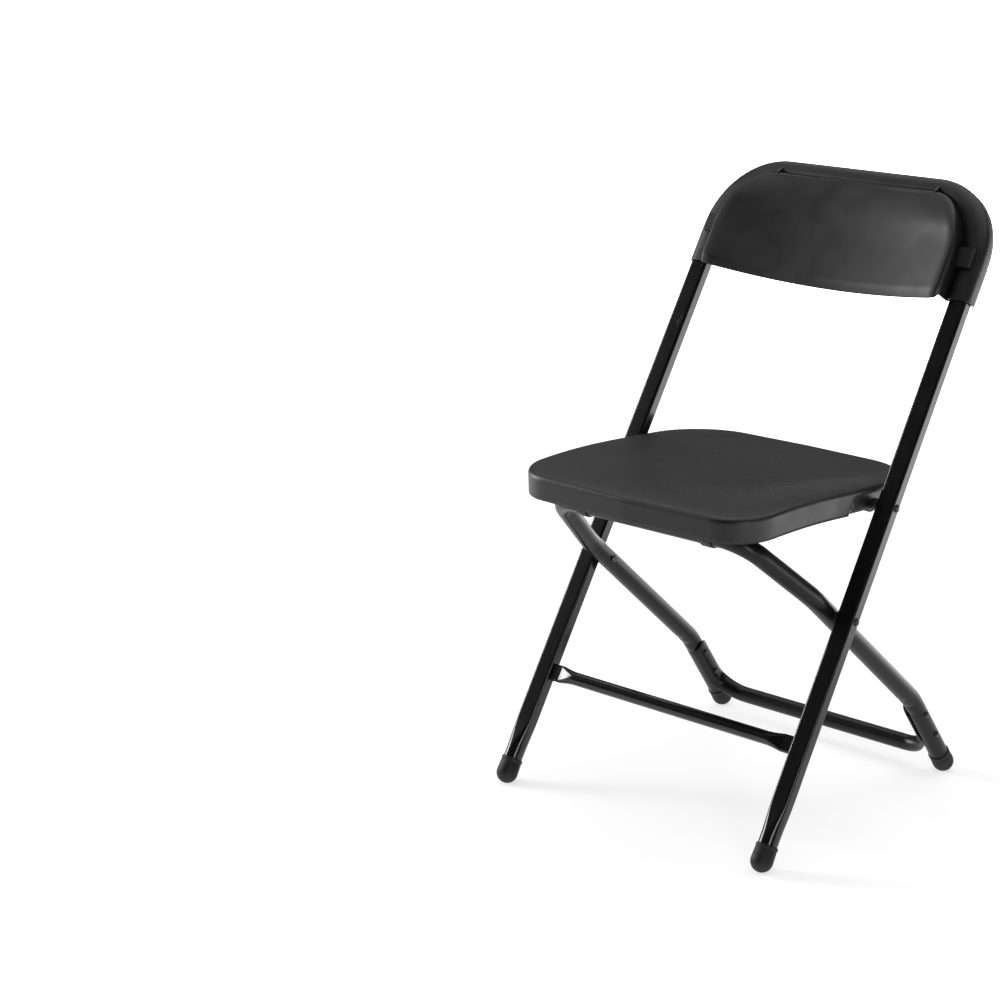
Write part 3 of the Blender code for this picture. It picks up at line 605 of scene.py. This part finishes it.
def crossbar():
    """A round tube whose ends are pinched flat, with a crease where the flat starts."""
    end = leg_half(CROSSBAR_ALONG) - TUBE_WIDTH / 2 - GAP
    marks = [0, 0.004, 0.008, 0.012, PINCH - 0.0015, PINCH - 0.0004, PINCH + 0.0004, PINCH + 0.0015]
    marks += [PINCH + PINCH_FADE * share for share in (0.2, 0.35, 0.5, 0.65, 0.8, 0.9, 1.0)]
    half = [front(end - mark, 0, CROSSBAR_ALONG) for mark in marks]
    middle = [front((end - marks[-1]) * (1 - i / 8), 0, CROSSBAR_ALONG) for i in range(1, 8)]
    path = mirrored(half + middle)

    def section_at(i):
        mark = end - abs(path[i].x)
        fade = min(max((mark - PINCH) / PINCH_FADE, 0.0), 1.0)
        pinch = (1 - fade) ** 1.6
        ridge = PINCH_RIDGE * max(0.0, 1 - abs(mark - PINCH - 0.0002) / PINCH_RIDGE_HALF)
        tall = 2 * CROSSBAR_RADIUS + PINCH_TALLER * pinch
        deep = 2 * CROSSBAR_RADIUS - PINCH_THINNER * pinch + ridge
        return tube_section(tall, deep, min(tall, deep) / 2 - 0.0001, 9)

    bm = sweep(path, Vector((0, SIN_F, COS_F)), section_at)
    bar = add_piece("crossbar_pinched", bm, FRONT_PAINT, "front_frame",
                    ["front_crossbar"], sharp=math.radians(30))
    flatten_shading(bar)


def foot_cap(name, floor_point, direction, body, stands_for):
    """A cup round the tube's end with a round nose, cut flat where it stands, and a rolled rim."""
    ball = CAP_BALL / direction.z
    profile = [(ball - CAP_RADIUS, 0)]
    profile += [(ball - CAP_RADIUS * math.cos(a), CAP_RADIUS * math.sin(a))
                for a in [math.radians(7.5 * i) for i in range(1, 13)]]
    profile += [(CAP_LENGTH - down, CAP_RADIUS - inward) for down, inward in CAP_RIM]
    hole = ROUND_RADIUS + PIN_PLAY
    profile += [(CAP_LENGTH - 0.0006, hole), (CAP_FLOOR, hole), (CAP_FLOOR, 0)]
    bm = turned(profile, floor_point, direction)
    cut = bmesh.ops.bisect_plane(bm, geom=bm.verts[:] + bm.edges[:] + bm.faces[:],
                                 plane_co=(0, 0, 0), plane_no=(0, 0, 1), clear_inner=True)
    rim_edges = [e for e in cut["geom_cut"] if isinstance(e, bmesh.types.BMEdge)]
    bmesh.ops.contextual_create(bm, geom=rim_edges)
    add_piece(name, faced_out(bm), CAP_PLASTIC, body, [stands_for])


def rivet(name, inner, outer, centre, side, body, stands_for, pin=PIN_RADIUS, head=RIVET_HEAD,
          dome=RIVET_DOME):
    """A pin across the chair with a flat inner head and a domed outer head on a thin collar."""
    length = outer - inner
    profile = [(along, head * share) for along, share in INNER_HEAD]
    profile += [(0, pin), (length, pin), (length, head), (length + COLLAR, head)]
    profile += dome_profile(length + COLLAR, dome, head * DOME_SHARE, (10, 22, 34, 46, 58, 70, 80))
    start = Vector((side * inner, centre.y, centre.z))
    add_piece(name, turned(profile, start, Vector((side, 0, 0)), 32), STEEL, body,
              [stands_for])


def ring(name, inner, outer, centre, side, hole, radius, body, stands_for, edge=0.0006):
    """A washer, spacer or sleeve with eased edges, between two distances from the middle."""
    length = outer - inner
    profile = [(0, hole), (0, radius - edge), (edge * 0.3, radius - edge * 0.3), (edge, radius)]
    profile += [(length - edge, radius), (length - edge * 0.3, radius - edge * 0.3)]
    profile += [(length, radius - edge), (length, hole)]
    start = Vector((side * inner, centre.y, centre.z))
    add_piece(name, turned(profile, start, Vector((side, 0, 0)), 40, closed=True), NYLON, body,
              [stands_for])


# ---------------- backrest
def arch_stations(leg_steps=14, corner_steps=30, top_steps=18):
    """(across, along, outward turn) along half of the arch, from its foot to the middle."""
    centre_u, centre_v = LEG_HALF_TOP - ARCH_RADIUS, ARCH_TOP - ARCH_RADIUS
    half = LEG_HALF_TOP + 0.0004
    stations = []
    for i in range(leg_steps):
        share = (i / leg_steps) ** 1.5
        stations.append((half, SHELL_BOTTOM + (centre_v - SHELL_BOTTOM) * share, 0.0))
    for i in range(corner_steps + 1):
        turn = math.pi / 2 * i / corner_steps
        stations.append((centre_u + ARCH_RADIUS * math.cos(turn),
                         centre_v + ARCH_RADIUS * math.sin(turn), turn))
    for i in range(1, top_steps + 1):
        stations.append((centre_u * (1 - i / top_steps), ARCH_TOP, math.pi / 2))
    return stations


COVER_POINTS = 20  # round the cover, before its groove


def panel_rim(u, turn):
    """Height of the panel's edge in front of the frame, round the arch."""
    share = smooth_share(turn, math.radians(28), math.radians(90))
    top = PANEL_TOP + (PANEL_SHOULDER - PANEL_TOP) * min(1.0, u / (LEG_HALF_TOP - ARCH_RADIUS)) ** 2
    return PANEL_SIDE + (top - PANEL_SIDE) * share


def cover_profile(u, turn):
    """Section of the shell across the arch: (outward, forward) pairs from the rear edge in."""
    at_top = smooth_share(turn, *LEDGE_TURNS)
    edge = PANEL_EDGE + (LEDGE_EDGE - PANEL_EDGE) * at_top
    floor = VALLEY_FLOOR + (SHELL_FRONT - GROOVE_DEPTH - VALLEY_FLOOR) * at_top
    rim = panel_rim(u, turn)
    reach = min(1.0, (edge - GROOVE_WIDTH) / SHELL_HALF) ** (1 / COVER_SQUARENESS)
    last = min(math.pi - 0.26, math.pi - math.acos(reach))
    points = [(SHELL_HALF, SHELL_REAR), (SHELL_HALF, SHELL_REAR / 2)]
    for i in range(COVER_POINTS + 1):
        angle = last * i / COVER_POINTS
        cosine = math.cos(angle)
        outward = SHELL_HALF * math.copysign(abs(cosine) ** COVER_SQUARENESS, cosine)
        points.append((outward, SHELL_FRONT * math.sin(angle) ** COVER_SQUARENESS))
    points += [(-edge + 0.0020, floor + 0.0004), (-edge + 0.0012, floor)]
    points += [(-edge + 0.0004, floor + 0.0004)]
    corner = min(PANEL_CORNER, (rim - floor) * 0.6)
    top = rim - corner
    points += [(-edge, floor + 0.0004 + (top - floor - 0.0004) * share) for share in (0.1, 0.4, 0.7)]
    points += arc((-edge - corner, top), corner, 0, 90, 6)
    return points


WALL_START = 2 + COVER_POINTS + 1 + 1  # first point of a profile that belongs to the panel


def lip_height(u):
    """Where the panel's lower edge lies along the frame, with its corners rounded up."""
    edge = LEG_HALF_TOP - PANEL_EDGE - LIP_CORNER
    over = min(max(abs(u) - edge, 0.0), LIP_CORNER)
    corner = LIP_CORNER - math.sqrt(LIP_CORNER ** 2 - over ** 2)
    return SHELL_LIP + LIP_ARCH * (u / LEG_HALF_TOP) ** 2 + corner


def panel_along(u, along):
    """Stretch the lower part of the panel down to its lip."""
    if along >= PANEL_ROWS_TURN:
        return along
    lip = lip_height(u)
    return lip + (along - SHELL_BOTTOM) * (PANEL_ROWS_TURN - lip) / (PANEL_ROWS_TURN - SHELL_BOTTOM)


def lip_roll(u, along):
    """How far the panel's lower band turns back."""
    up = (along - lip_height(u)) / LIP_ROLL
    return LIP_DEPTH * max(0.0, 1 - up) ** 1.2


def shell_columns():
    """The cover's profile at every station from the left foot over the arch to the right."""
    columns = []
    for side in (1, -1):
        row = []
        for u, v, turn in arch_stations():
            column = []
            for k, (outward, forward) in enumerate(cover_profile(u, turn)):
                pu = max(u + outward * math.cos(turn), 0)
                pv = v + outward * math.sin(turn)
                if k >= WALL_START:
                    pv = panel_along(pu, pv)
                    share = max(0.0, forward - VALLEY_FLOOR) / PANEL_SIDE
                    forward -= lip_roll(pu, pv) * share
                column.append(front(side * pu, forward, pv))
            row.append(column)
        columns.append(row)
    return columns[0] + columns[1][-2::-1]


def fill_panel(bm, edge, rows):
    """Fill the panel with a grid: rows run from the left side's edge point to the right's."""
    top = edge[rows:len(edge) - rows]
    shares = [(top[0].co.x - p.co.x) / (2 * top[0].co.x) for p in top]
    stations = arch_stations()
    grid = []
    for j in range(rows):
        start, end = edge[j], edge[len(edge) - 1 - j]
        half, along = start.co.x, stations[j][1]
        if along >= PANEL_ROWS_TURN:
            along = along_front(start.co)
        rim = panel_rim(stations[j][0], stations[j][2])
        middle = PANEL_MIDDLE + (PANEL_TOP - PANEL_MIDDLE) * smooth_share(along, *PANEL_RISE)
        line = [start]
        for share in shares[1:-1]:
            u = half * (1 - 2 * share)
            place = panel_along(u, along)
            forward = middle + (rim - middle) * (u / half) ** 2 - lip_roll(u, place)
            line.append(bm.verts.new(front(u, forward, place)))
        grid.append(line + [end])
    grid.append(top)
    for low, high in zip(grid, grid[1:]):
        for i in range(len(top) - 1):
            bm.faces.new((low[i], low[i + 1], high[i + 1], high[i]))


def backrest():
    bm = bmesh.new()
    strip = [[bm.verts.new(p) for p in column] for column in shell_columns()]
    for a, b in zip(strip, strip[1:]):
        for k in range(len(a) - 1):
            bm.faces.new((a[k], a[k + 1], b[k + 1], b[k]))
    rows = sum(1 for station in arch_stations() if station[2] < math.pi / 2)
    fill_panel(bm, [column[-1] for column in strip], rows)
    faced_out(bm)
    widest = max(bm.faces, key=lambda face: face.calc_area())
    if widest.normal.dot(front(0, 1, 0) - front(0, 0, 0)) < 0:
        bmesh.ops.reverse_faces(bm, faces=bm.faces)
    shell = add_piece("backrest_moulding", bm, PLASTIC, "front_frame",
                      ["backrest_shell"], sharp=math.radians(48))
    give_wall(shell, SHELL_THICKNESS)


def cover_height(outward):
    """The cover's front surface over the frame, at a distance outward from the tube's centre."""
    share = min(abs(outward) / SHELL_HALF, 1.0) ** (1 / COVER_SQUARENESS)
    return SHELL_FRONT * math.sqrt(1 - share ** 2) ** COVER_SQUARENESS


def bumper(word, side):
    """A rubber block that bridges the valley and stands proud of the cover."""
    under = [BUMPER_HALF + (-BUMPER_UNDER - BUMPER_HALF) * i / 8 for i in range(9)]
    outline = [(r, cover_height(r) + GAP) for r in under]
    outline += [(-BUMPER_INNER, VALLEY_FLOOR + 0.002), (-PANEL_EDGE + 0.0006, VALLEY_FLOOR + 0.002)]
    outline += [(-PANEL_EDGE + 0.0006, BUMPER_FRONT), (BUMPER_HALF - 0.0008, BUMPER_FRONT)]
    points = [front(side * (LEG_HALF_TOP + r), n, BUMPER_LOW) for r, n in outline]
    up = front(0, 0, BUMPER_HIGH) - front(0, 0, BUMPER_LOW)
    add_piece(f"bumper_block_{word}", extruded(points, up), RUBBER, "front_frame",
              [f"stacking_bumper_{word}"], bevel=0.0007)


def ledge_rib(word, side):
    """A small gusset on the ledge where the valley beside the panel starts."""
    profile = [(RIB_HIGH, RIB_FOOT), (RIB_LOW, RIB_FOOT), (RIB_LOW, RIB_FRONT),
               (RIB_LOW + 0.0020, RIB_FRONT)]
    points = [front(side * RIB_U - RIB_WIDTH / 2, n, v) for v, n in profile]
    bm = extruded(points, Vector((RIB_WIDTH, 0, 0)))
    add_piece(f"ledge_rib_{word}", bm, PLASTIC, "front_frame", bevel=0.0005)


def shell_back(u, along):
    """The rear face of the panel, in front of the frame."""
    half = LEG_HALF_TOP - PANEL_EDGE
    return PANEL_MIDDLE + (PANEL_SIDE - PANEL_MIDDLE) * (u / half) ** 2 - SHELL_THICKNESS - GAP


def back_ribs(word, side):
    """Slanted pairs of stiffening ribs behind the panel's lower corners."""
    steps = [i / 6 for i in range(7)]
    for number, (low_u, low_v) in enumerate(BACK_RIBS):
        places = [(low_u + BACK_RIB_RUN * s, low_v + BACK_RIB_RISE * s) for s in steps]
        front_edge = [front(side * u, shell_back(u, v), v) for u, v in places]
        rear_edge = [front(side * u, shell_back(u, v) - BACK_RIB_DEPTH, v)
                     for u, v in reversed(places)]
        bm = extruded(front_edge + rear_edge, Vector((side * BACK_RIB_WIDTH, 0, 0)))
        add_piece(f"back_rib_{word}_{number}", bm, PLASTIC, "front_frame")


def shell_rivet(word, side):
    """A domed rivet head on the back of the tube."""
    start = front(side * LEG_HALF_TOP, -TUBE_DEPTH / 2 - GAP, RIVET_PLACE)
    back = front(0, -1, 0) - front(0, 0, 0)
    collar, round_part, collar_height, dome = SHELL_RIVET
    profile = [(0, 0), (0, collar), (collar_height, collar)]
    profile += dome_profile(collar_height, dome, round_part, (12, 26, 40, 54, 68, 80))
    add_piece(f"shell_rivet_{word}", turned(profile, start, back, 32), STEEL, "front_frame",
              [f"backrest_rivet_{word}"])


# ---------------- seat
def seat_outline(counts=(46, 22, 28)):
    """The seat's outline in plan, round from the front's middle by the left side."""
    corners = [Vector((0, -SEAT_FRONT, 0)), Vector((SEAT_HALF_FRONT, -SEAT_FRONT_CORNER, 0)),
               Vector((SEAT_HALF_MIDDLE, -0.06, 0)), Vector((SEAT_HALF_REAR, SEAT_REAR_CORNER, 0)),
               Vector((0, SEAT_REAR, 0))]
    path = rounded(corners, SEAT_CORNERS, step=math.radians(2))
    lengths = [0.0]
    for a, b in zip(path, path[1:]):
        lengths.append(lengths[-1] + (b - a).length)

    def at(distance):
        i = next(i for i in range(1, len(path)) if distance <= lengths[i] or i == len(path) - 1)
        share = (distance - lengths[i - 1]) / (lengths[i] - lengths[i - 1])
        return path[i - 1].lerp(path[i], share)

    def length_at(y):
        i = next(i for i in range(1, len(path))
                 if path[i - 1].y <= y <= path[i].y and path[i].x > SEAT_HALF_REAR / 2)
        share = (y - path[i - 1].y) / (path[i].y - path[i - 1].y)
        return lengths[i - 1] + share * (lengths[i] - lengths[i - 1])

    stops = [0.0, length_at(-SEAT_SIDE), length_at(SEAT_SIDE), lengths[-1]]
    half = []
    for start, end, count in zip(stops, stops[1:], counts):
        half += [at(start + (end - start) * i / count) for i in range(count)]
    half.append(path[-1])
    return half + [Vector((-p.x, p.y, 0)) for p in half[-2:0:-1]]


def rim_height(y):
    """Height of the seat's rim over the seat pivot, along the seat."""
    back = y - SEAT_SLOPE_ZERO
    drop = SEAT_FRONT_DROP * max(0.0, (-back - SEAT_DROP_FROM) / SEAT_DROP_OVER) ** 2
    rise = SEAT_REAR_RISE * max(0.0, (back - SEAT_RISE_FROM) / SEAT_RISE_OVER) ** 2
    return SEAT_RIM_HEIGHT - SEAT_RAKE * back - drop + rise


def skirt_bottom(y):
    """Height of the skirt's lower edge over the pivot: shallow at the rear, an ear at the pin."""
    plain = rim_height(y) - SEAT_SKIRT + SEAT_SKIRT_RELIEF * smooth_share(y, *SEAT_RELIEF_Y)
    depth, rise, length = SEAT_EAR
    return min(plain, depth + rise * (y / length) ** 2)


def seat_dish(share):
    """How far the top sinks below the rim at a share of the way from the middle to the rim."""
    return SEAT_DISH * (1 - smooth_share(share, *SEAT_DISH_SHARES))


def recess_share(y, share):
    """The recess beside the tube: full near the pin, its front edge slanting forward downward."""
    place, slant, soft = RECESS_AHEAD if y < 0 else RECESS_BEHIND
    edge = place + slant * share
    return 1 - smooth_share(abs(y), edge, edge + soft)


def seat_loops(outline):
    """Loops of the seat's outer surface, from near the middle out to the skirt's edge."""
    centre = Vector((0, SEAT_CENTRE_Y, 0))
    outward = []
    for i, point in enumerate(outline):
        run = outline[(i + 1) % len(outline)] - outline[i - 1]
        outward.append(Vector((run.y, -run.x, 0)).normalized())
    loops = []
    for share in (0.08, 0.16, 0.25, 0.34, 0.43, 0.52, 0.60, 0.68, 0.75, 0.81, 0.86, 0.90, 0.93):
        ring_points = [centre + (p - centre) * share for p in outline]
        loops.append([Vector((p.x, p.y, rim_height(p.y) - seat_dish(share))) for p in ring_points])
    rim = arc((-RIM_RADIUS, -RIM_RADIUS), RIM_RADIUS, 90, 0, 7)
    for out, down in rim:
        loops.append([Vector((p.x, p.y, rim_height(p.y) + down)) + n * out
                      for p, n in zip(outline, outward)])
    for share in (0.10, 0.16, 0.26, 0.40, 0.55, 0.70, 0.85, 1.0):
        ring_points = []
        for p, n in zip(outline, outward):
            top, bottom = rim_height(p.y) - RIM_RADIUS, skirt_bottom(p.y)
            recess = recess_share(p.y, share) * smooth_share(share, 0.08, 0.17)
            recess *= SEAT_RECESS if abs(p.x) > RECESS_OUT else 0.0
            point = p - n * (recess + SEAT_DRAFT * share)
            ring_points.append(Vector((point.x, point.y, top + (bottom - top) * share)))
        loops.append(ring_points)
    return loops


def seat():
    bm = bmesh.new()
    loops = [[bm.verts.new(p + SEAT_AXIS) for p in loop] for loop in seat_loops(seat_outline())]
    centre_height = rim_height(SEAT_CENTRE_Y) - SEAT_DISH
    middle = bm.verts.new(SEAT_AXIS + Vector((0, SEAT_CENTRE_Y, centre_height)))
    for i, vert in enumerate(loops[0]):
        bm.faces.new((middle, vert, loops[0][(i + 1) % len(loops[0])]))
    skin(bm, loops)
    faced_out(bm)
    if next(iter(middle.link_faces)).normal.z < 0:
        bmesh.ops.reverse_faces(bm, faces=bm.faces)
    pan = add_piece("seat_moulding", bm, PLASTIC, "seat", ["seat_pan"],
                    sharp=math.radians(50))
    give_wall(pan, SEAT_THICKNESS)
    for x, y in DRAIN_HOLES:
        drill_hole(pan, Vector((x, y, 0)))


def drill_hole(pan, place):
    """Cut a small round hole down through the seat's top."""
    low = SEAT_AXIS + place
    profile = [(0, 0), (0, DRAIN_RADIUS), (DRAIN_CUT, DRAIN_RADIUS), (DRAIN_CUT, 0)]
    bm = turned(profile, low, Vector((0, 0, 1)), 20)
    cutter = placed("drain_cutter", as_mesh("drain_cutter", bm))
    cut = pan.modifiers.new("drain hole", "BOOLEAN")
    cut.operation = "DIFFERENCE"
    cut.solver = "EXACT"
    cut.object = cutter
    bpy.context.view_layer.update()
    evaluated = pan.evaluated_get(bpy.context.evaluated_depsgraph_get())
    result = bpy.data.meshes.new_from_object(evaluated)
    pan.modifiers.clear()
    pan.data = result
    bpy.data.objects.remove(cutter)


# ---------------- rear frame
def rear_tube():
    points = [rear_lower(REAR_TUBE_END), REAR_BEND_POINT, rear_upper(REAR_HALF_PIVOT, REAR_TAPER_START),
              rear_upper(REAR_HALF_TOP, REAR_TOP), rear_upper(0, REAR_TOP)]
    half = spaced(rounded(points, REAR_CORNERS), 0.0028)
    path = mirrored(half[:-1])
    inside = Vector((0, -math.cos(REAR_LEAN), -math.sin(REAR_LEAN)))
    along_leg = Vector((0, math.sin(REAR_LEAN), -math.cos(REAR_LEAN)))

    def section_at(i):
        bend = Vector((math.copysign(REAR_HALF_BEND, path[i].x), *REAR_BEND_POINT.yz))
        near = abs((path[i] - bend).dot(along_leg))
        dent = DENT_DEPTH * max(0.0, math.cos(near / DENT_HALF * math.pi)) * (near < DENT_REACH)
        section = []
        for a, b in circle(ROUND_RADIUS, 40):
            facing = max(0.0, b / ROUND_RADIUS) ** 3
            section.append((a, b - dent * facing))
        return section

    sign = Vector((1, 0, 0))
    tangent = (path[1] - path[0]).normalized()
    if tangent.cross(sign).dot(inside) < 0:
        sign = -sign
    add_piece("rear_tube_bent", sweep(path, sign, section_at), REAR_PAINT, "rear_frame",
              ["rear_frame_tube"])


def brace_point(z):
    """The brace's centre line inside the left rear leg, at a height."""
    return rear_lower(z) - Vector((BRACE_REACH, 0, 0))


def flattened(turn, wrap_share):
    """A point of the flattened section: how far towards the leg, and how far round it."""
    cosine = math.cos(turn)
    radius = BRACE_REACH - math.copysign(abs(cosine) ** 0.5, cosine) * BRACE_FLAT / 2
    wrap = BRACE_FLAT_TURN * wrap_share * math.sin(turn)
    return BRACE_REACH - radius * math.cos(wrap), radius * math.sin(wrap)


def brace(count=36):
    """A round tube along the floor, whose upright ends are flattened tongues against the legs."""
    corner = brace_point(BRACE_BOTTOM_Z)
    middle = Vector((0, corner.y, corner.z))
    levels = [BRACE_TOP_Z - BRACE_TONGUE * (1 - math.cos(math.radians(a))) for a in range(0, 91, 10)]
    half = [brace_point(z) for z in levels + [BRACE_RIVETS_Z[1]]]
    half = half[:-1] + rounded([half[-1], corner, middle], [BRACE_CORNER], step=math.radians(4))
    path = mirrored(spaced(half, 0.006)[:-1])

    def section_at(i):
        z = path[i].z
        share = smooth_share(z, *BRACE_FLAT_Z)
        into = max(0.0, (z - BRACE_TOP_Z + BRACE_TONGUE) / BRACE_TONGUE)
        wrap_share = max(0.12, math.sqrt(max(0.0, 1 - into ** 2)))
        section = []
        for turn in [math.tau * (k + 0.5) / count for k in range(count)]:
            plain = BRACE_RADIUS * math.cos(turn), BRACE_RADIUS * math.sin(turn)
            flat = flattened(turn, wrap_share)
            section.append((plain[0] + (flat[0] - plain[0]) * share,
                            plain[1] + (flat[1] - plain[1]) * share))
        return section

    add_piece("brace_flattened", sweep(path, Vector((1, 0, 0)), section_at), REAR_PAINT, "rear_frame",
              ["rear_brace"])


# ---------------- assembly
def build_front():
    front_tube()
    crossbar()
    backrest()
    along = (front(leg_half(0.5), 0, 0.5) - front(LEG_HALF_FLOOR, 0, 0)).normalized()
    seat_leg, cross_leg = leg_half(SEAT_PIVOT), leg_half(CROSS_PIVOT)
    wall_out = SEAT_HALF_MIDDLE - SEAT_RECESS
    for word, side in SIDES:
        foot_cap(f"front_cap_{word}", front(side * LEG_HALF_FLOOR, 0, 0), on_side(along, side),
                 "front_frame", f"front_foot_{word}")
        bumper(word, side)
        ledge_rib(word, side)
        back_ribs(word, side)
        shell_rivet(word, side)
        rivet(f"seat_pin_{word}", wall_out - PIN_INSIDE, seat_leg + TUBE_WIDTH / 2 + GAP, SEAT_AXIS,
              side, "front_frame", f"seat_pivot_rivet_{word}")
        ring(f"seat_spacer_{word}", wall_out + 0.0004, seat_leg - TUBE_WIDTH / 2 - GAP, SEAT_AXIS,
             side, PIN_RADIUS + PIN_PLAY, SPACER_RADIUS, "front_frame", f"seat_pivot_spacer_{word}")
        rivet(f"cross_pin_{word}", REAR_HALF_PIVOT - ROUND_RADIUS - GAP,
              cross_leg + TUBE_WIDTH / 2 + GAP, CROSS_AXIS, side, "front_frame",
              f"cross_pivot_rivet_{word}")
        ring(f"cross_washer_{word}", REAR_HALF_PIVOT + ROUND_RADIUS + GAP,
             cross_leg - TUBE_WIDTH / 2 - GAP, CROSS_AXIS, side, PIN_RADIUS + PIN_PLAY, WASHER_RADIUS,
             "front_frame", f"cross_pivot_washer_{word}")


def build_seat():
    seat()
    for word, _ in SIDES:
        guide = frame["nodes"][f"seat_guide_{word}"]
        guide.data.materials.clear()
        guide.data.materials.append(NYLON)
        soften(guide, 0.0006)


def build_rear():
    rear_tube()
    brace()
    bar = rear_upper(0, REAR_TOP)
    down = (rear_lower(0.05) - rear_lower(0)).normalized()
    for word, side in SIDES:
        foot_cap(f"rear_cap_{word}", on_side(rear_lower(0), side), on_side(down, side), "rear_frame",
                 f"rear_foot_{word}")
        ring(f"bar_sleeve_{word}", *SLEEVE_ENDS, bar, side, ROUND_RADIUS + PIN_PLAY, SLEEVE_RADIUS,
             "rear_frame", f"slide_sleeve_{word}")
        for place, z in zip(("upper", "lower"), BRACE_RIVETS_Z):
            leg, inner = rear_lower(z), brace_point(z).x - BRACE_FLAT / 2 - GAP
            rivet(f"brace_pin_{place}_{word}", inner, leg.x + ROUND_RADIUS + GAP, leg, side,
                  "rear_frame", f"brace_rivet_{place}_{word}", pin=SMALL_PIN_RADIUS,
                  head=SMALL_HEAD, dome=SMALL_DOME)


# ---------------- studio
FLOOR_RADIUS = 45
FLOOR_ACROSS = ((-1.9, 0.12), (-1.0, 0.66), (0.5, 0.68), (1.6, 3.0))  # (metres, own light)
FLOOR_AWAY = ((0.4, 0.0), (3.0, 0.6))  # added away from the camera
ACROSS_TOWARD, AWAY_TOWARD = (0.578, 0.817, 0.0), (-0.69, 0.725, 0.0)
ROOM_LIGHT = ((-0.6, 0.03), (0.2, 0.10), (1.0, 0.17))  # (facing the back, light)
ROOM_TOWARD = (-0.45, 0.85, 0.25)
SOFTBOXES = (  # name, place, what it faces, width, height, power
    ("overhead", (-0.3, 0.9, 4.2), (0, 0, 0.2), 6.0, 6.0, 135),
    ("left_strip", (-3.2, -1.2, 1.25), (0.1, 0.1, 0.8), 0.9, 2.2, 95),
    ("near_strip", (2.80, -2.05, 0.95), (0.2, -0.1, 0.6), 0.6, 1.5, 21),
)


def along_direction(tree, places, direction, stops):
    """A value that follows (distance, value) stops along a direction."""
    toward = tree.nodes.new("ShaderNodeVectorMath")
    toward.operation = "DOT_PRODUCT"
    toward.inputs[1].default_value = direction
    tree.links.new(places, toward.inputs[0])
    total = None
    for (start, low), (end, high) in zip(stops, stops[1:]):
        step = map_range(tree, toward.outputs["Value"], start, end, 0.0, high - low)
        add = tree.nodes.new("ShaderNodeMath")
        add.inputs[1].default_value = stops[0][1]
        tree.links.new(step, add.inputs[0])
        if total is not None:
            tree.links.new(total, add.inputs[1])
        total = add.outputs["Value"]
    return total


def studio_floor():
    """A white floor with its own light: strongest to the right and behind, faded far in front."""
    bm = bmesh.new()
    bmesh.ops.create_circle(bm, cap_ends=True, segments=64, radius=FLOOR_RADIUS)
    floor = placed("studio_floor", as_mesh("studio_floor", bm))
    material = bpy.data.materials.new("studio_floor")
    material.use_nodes = True
    tree = material.node_tree
    shader = tree.nodes["Principled BSDF"]
    shader.inputs["Base Color"].default_value = (0.55, 0.55, 0.55, 1)
    shader.inputs["Roughness"].default_value = 0.9
    shader.inputs["Specular IOR Level"].default_value = 0.0
    shader.inputs["Emission Color"].default_value = (1, 1, 1, 1)
    places = tree.nodes.new("ShaderNodeTexCoord").outputs["Object"]
    glow = tree.nodes.new("ShaderNodeMath")
    across = along_direction(tree, places, ACROSS_TOWARD, FLOOR_ACROSS)
    away = along_direction(tree, places, AWAY_TOWARD, FLOOR_AWAY)
    tree.links.new(across, glow.inputs[0])
    tree.links.new(away, glow.inputs[1])
    tree.links.new(glow.outputs["Value"], shader.inputs["Emission Strength"])
    floor.data.materials.append(material)


def softbox(name, place, target, width, height, power):
    """An area light that faces a point."""
    light = bpy.data.lights.new(name, "AREA")
    light.shape = "RECTANGLE"
    light.size = width
    light.size_y = height
    light.energy = power
    lamp = placed(name, light)
    lamp.location = place
    lamp.rotation_mode = "QUATERNION"
    lamp.rotation_quaternion = (Vector(target) - Vector(place)).to_track_quat("-Z", "Y")


def room_light():
    """A dim room that is lighter towards the back and darker towards the front."""
    world = bpy.data.worlds.new("studio")
    world.use_nodes = True
    bpy.context.scene.world = world
    tree = world.node_tree
    background = tree.nodes["Background"]
    level = along_direction(tree, tree.nodes.new("ShaderNodeTexCoord").outputs["Generated"],
                            ROOM_TOWARD, ROOM_LIGHT)
    tree.links.new(level, background.inputs["Strength"])
    background.inputs["Color"].default_value = (1, 1, 1, 1)


def studio():
    studio_floor()
    room_light()
    for box in SOFTBOXES:
        softbox(*box)
    bpy.context.scene.view_settings.view_transform = "Standard"


def camera():
    back = Vector((math.sin(CAMERA_AZIMUTH) * math.cos(CAMERA_ELEVATION),
                   -math.cos(CAMERA_AZIMUTH) * math.cos(CAMERA_ELEVATION),
                   math.sin(CAMERA_ELEVATION)))
    view = placed("camera", bpy.data.cameras.new("camera"))
    view.data.lens = CAMERA_LENS
    view.location = CAMERA_PLACE
    view.rotation_mode = "QUATERNION"
    view.rotation_quaternion = (-back).to_track_quat("-Z", "Y") @ Quaternion((0, 0, 1), CAMERA_ROLL)
    bpy.context.scene.camera = view


build_front()
build_seat()
build_rear()
studio()
camera()
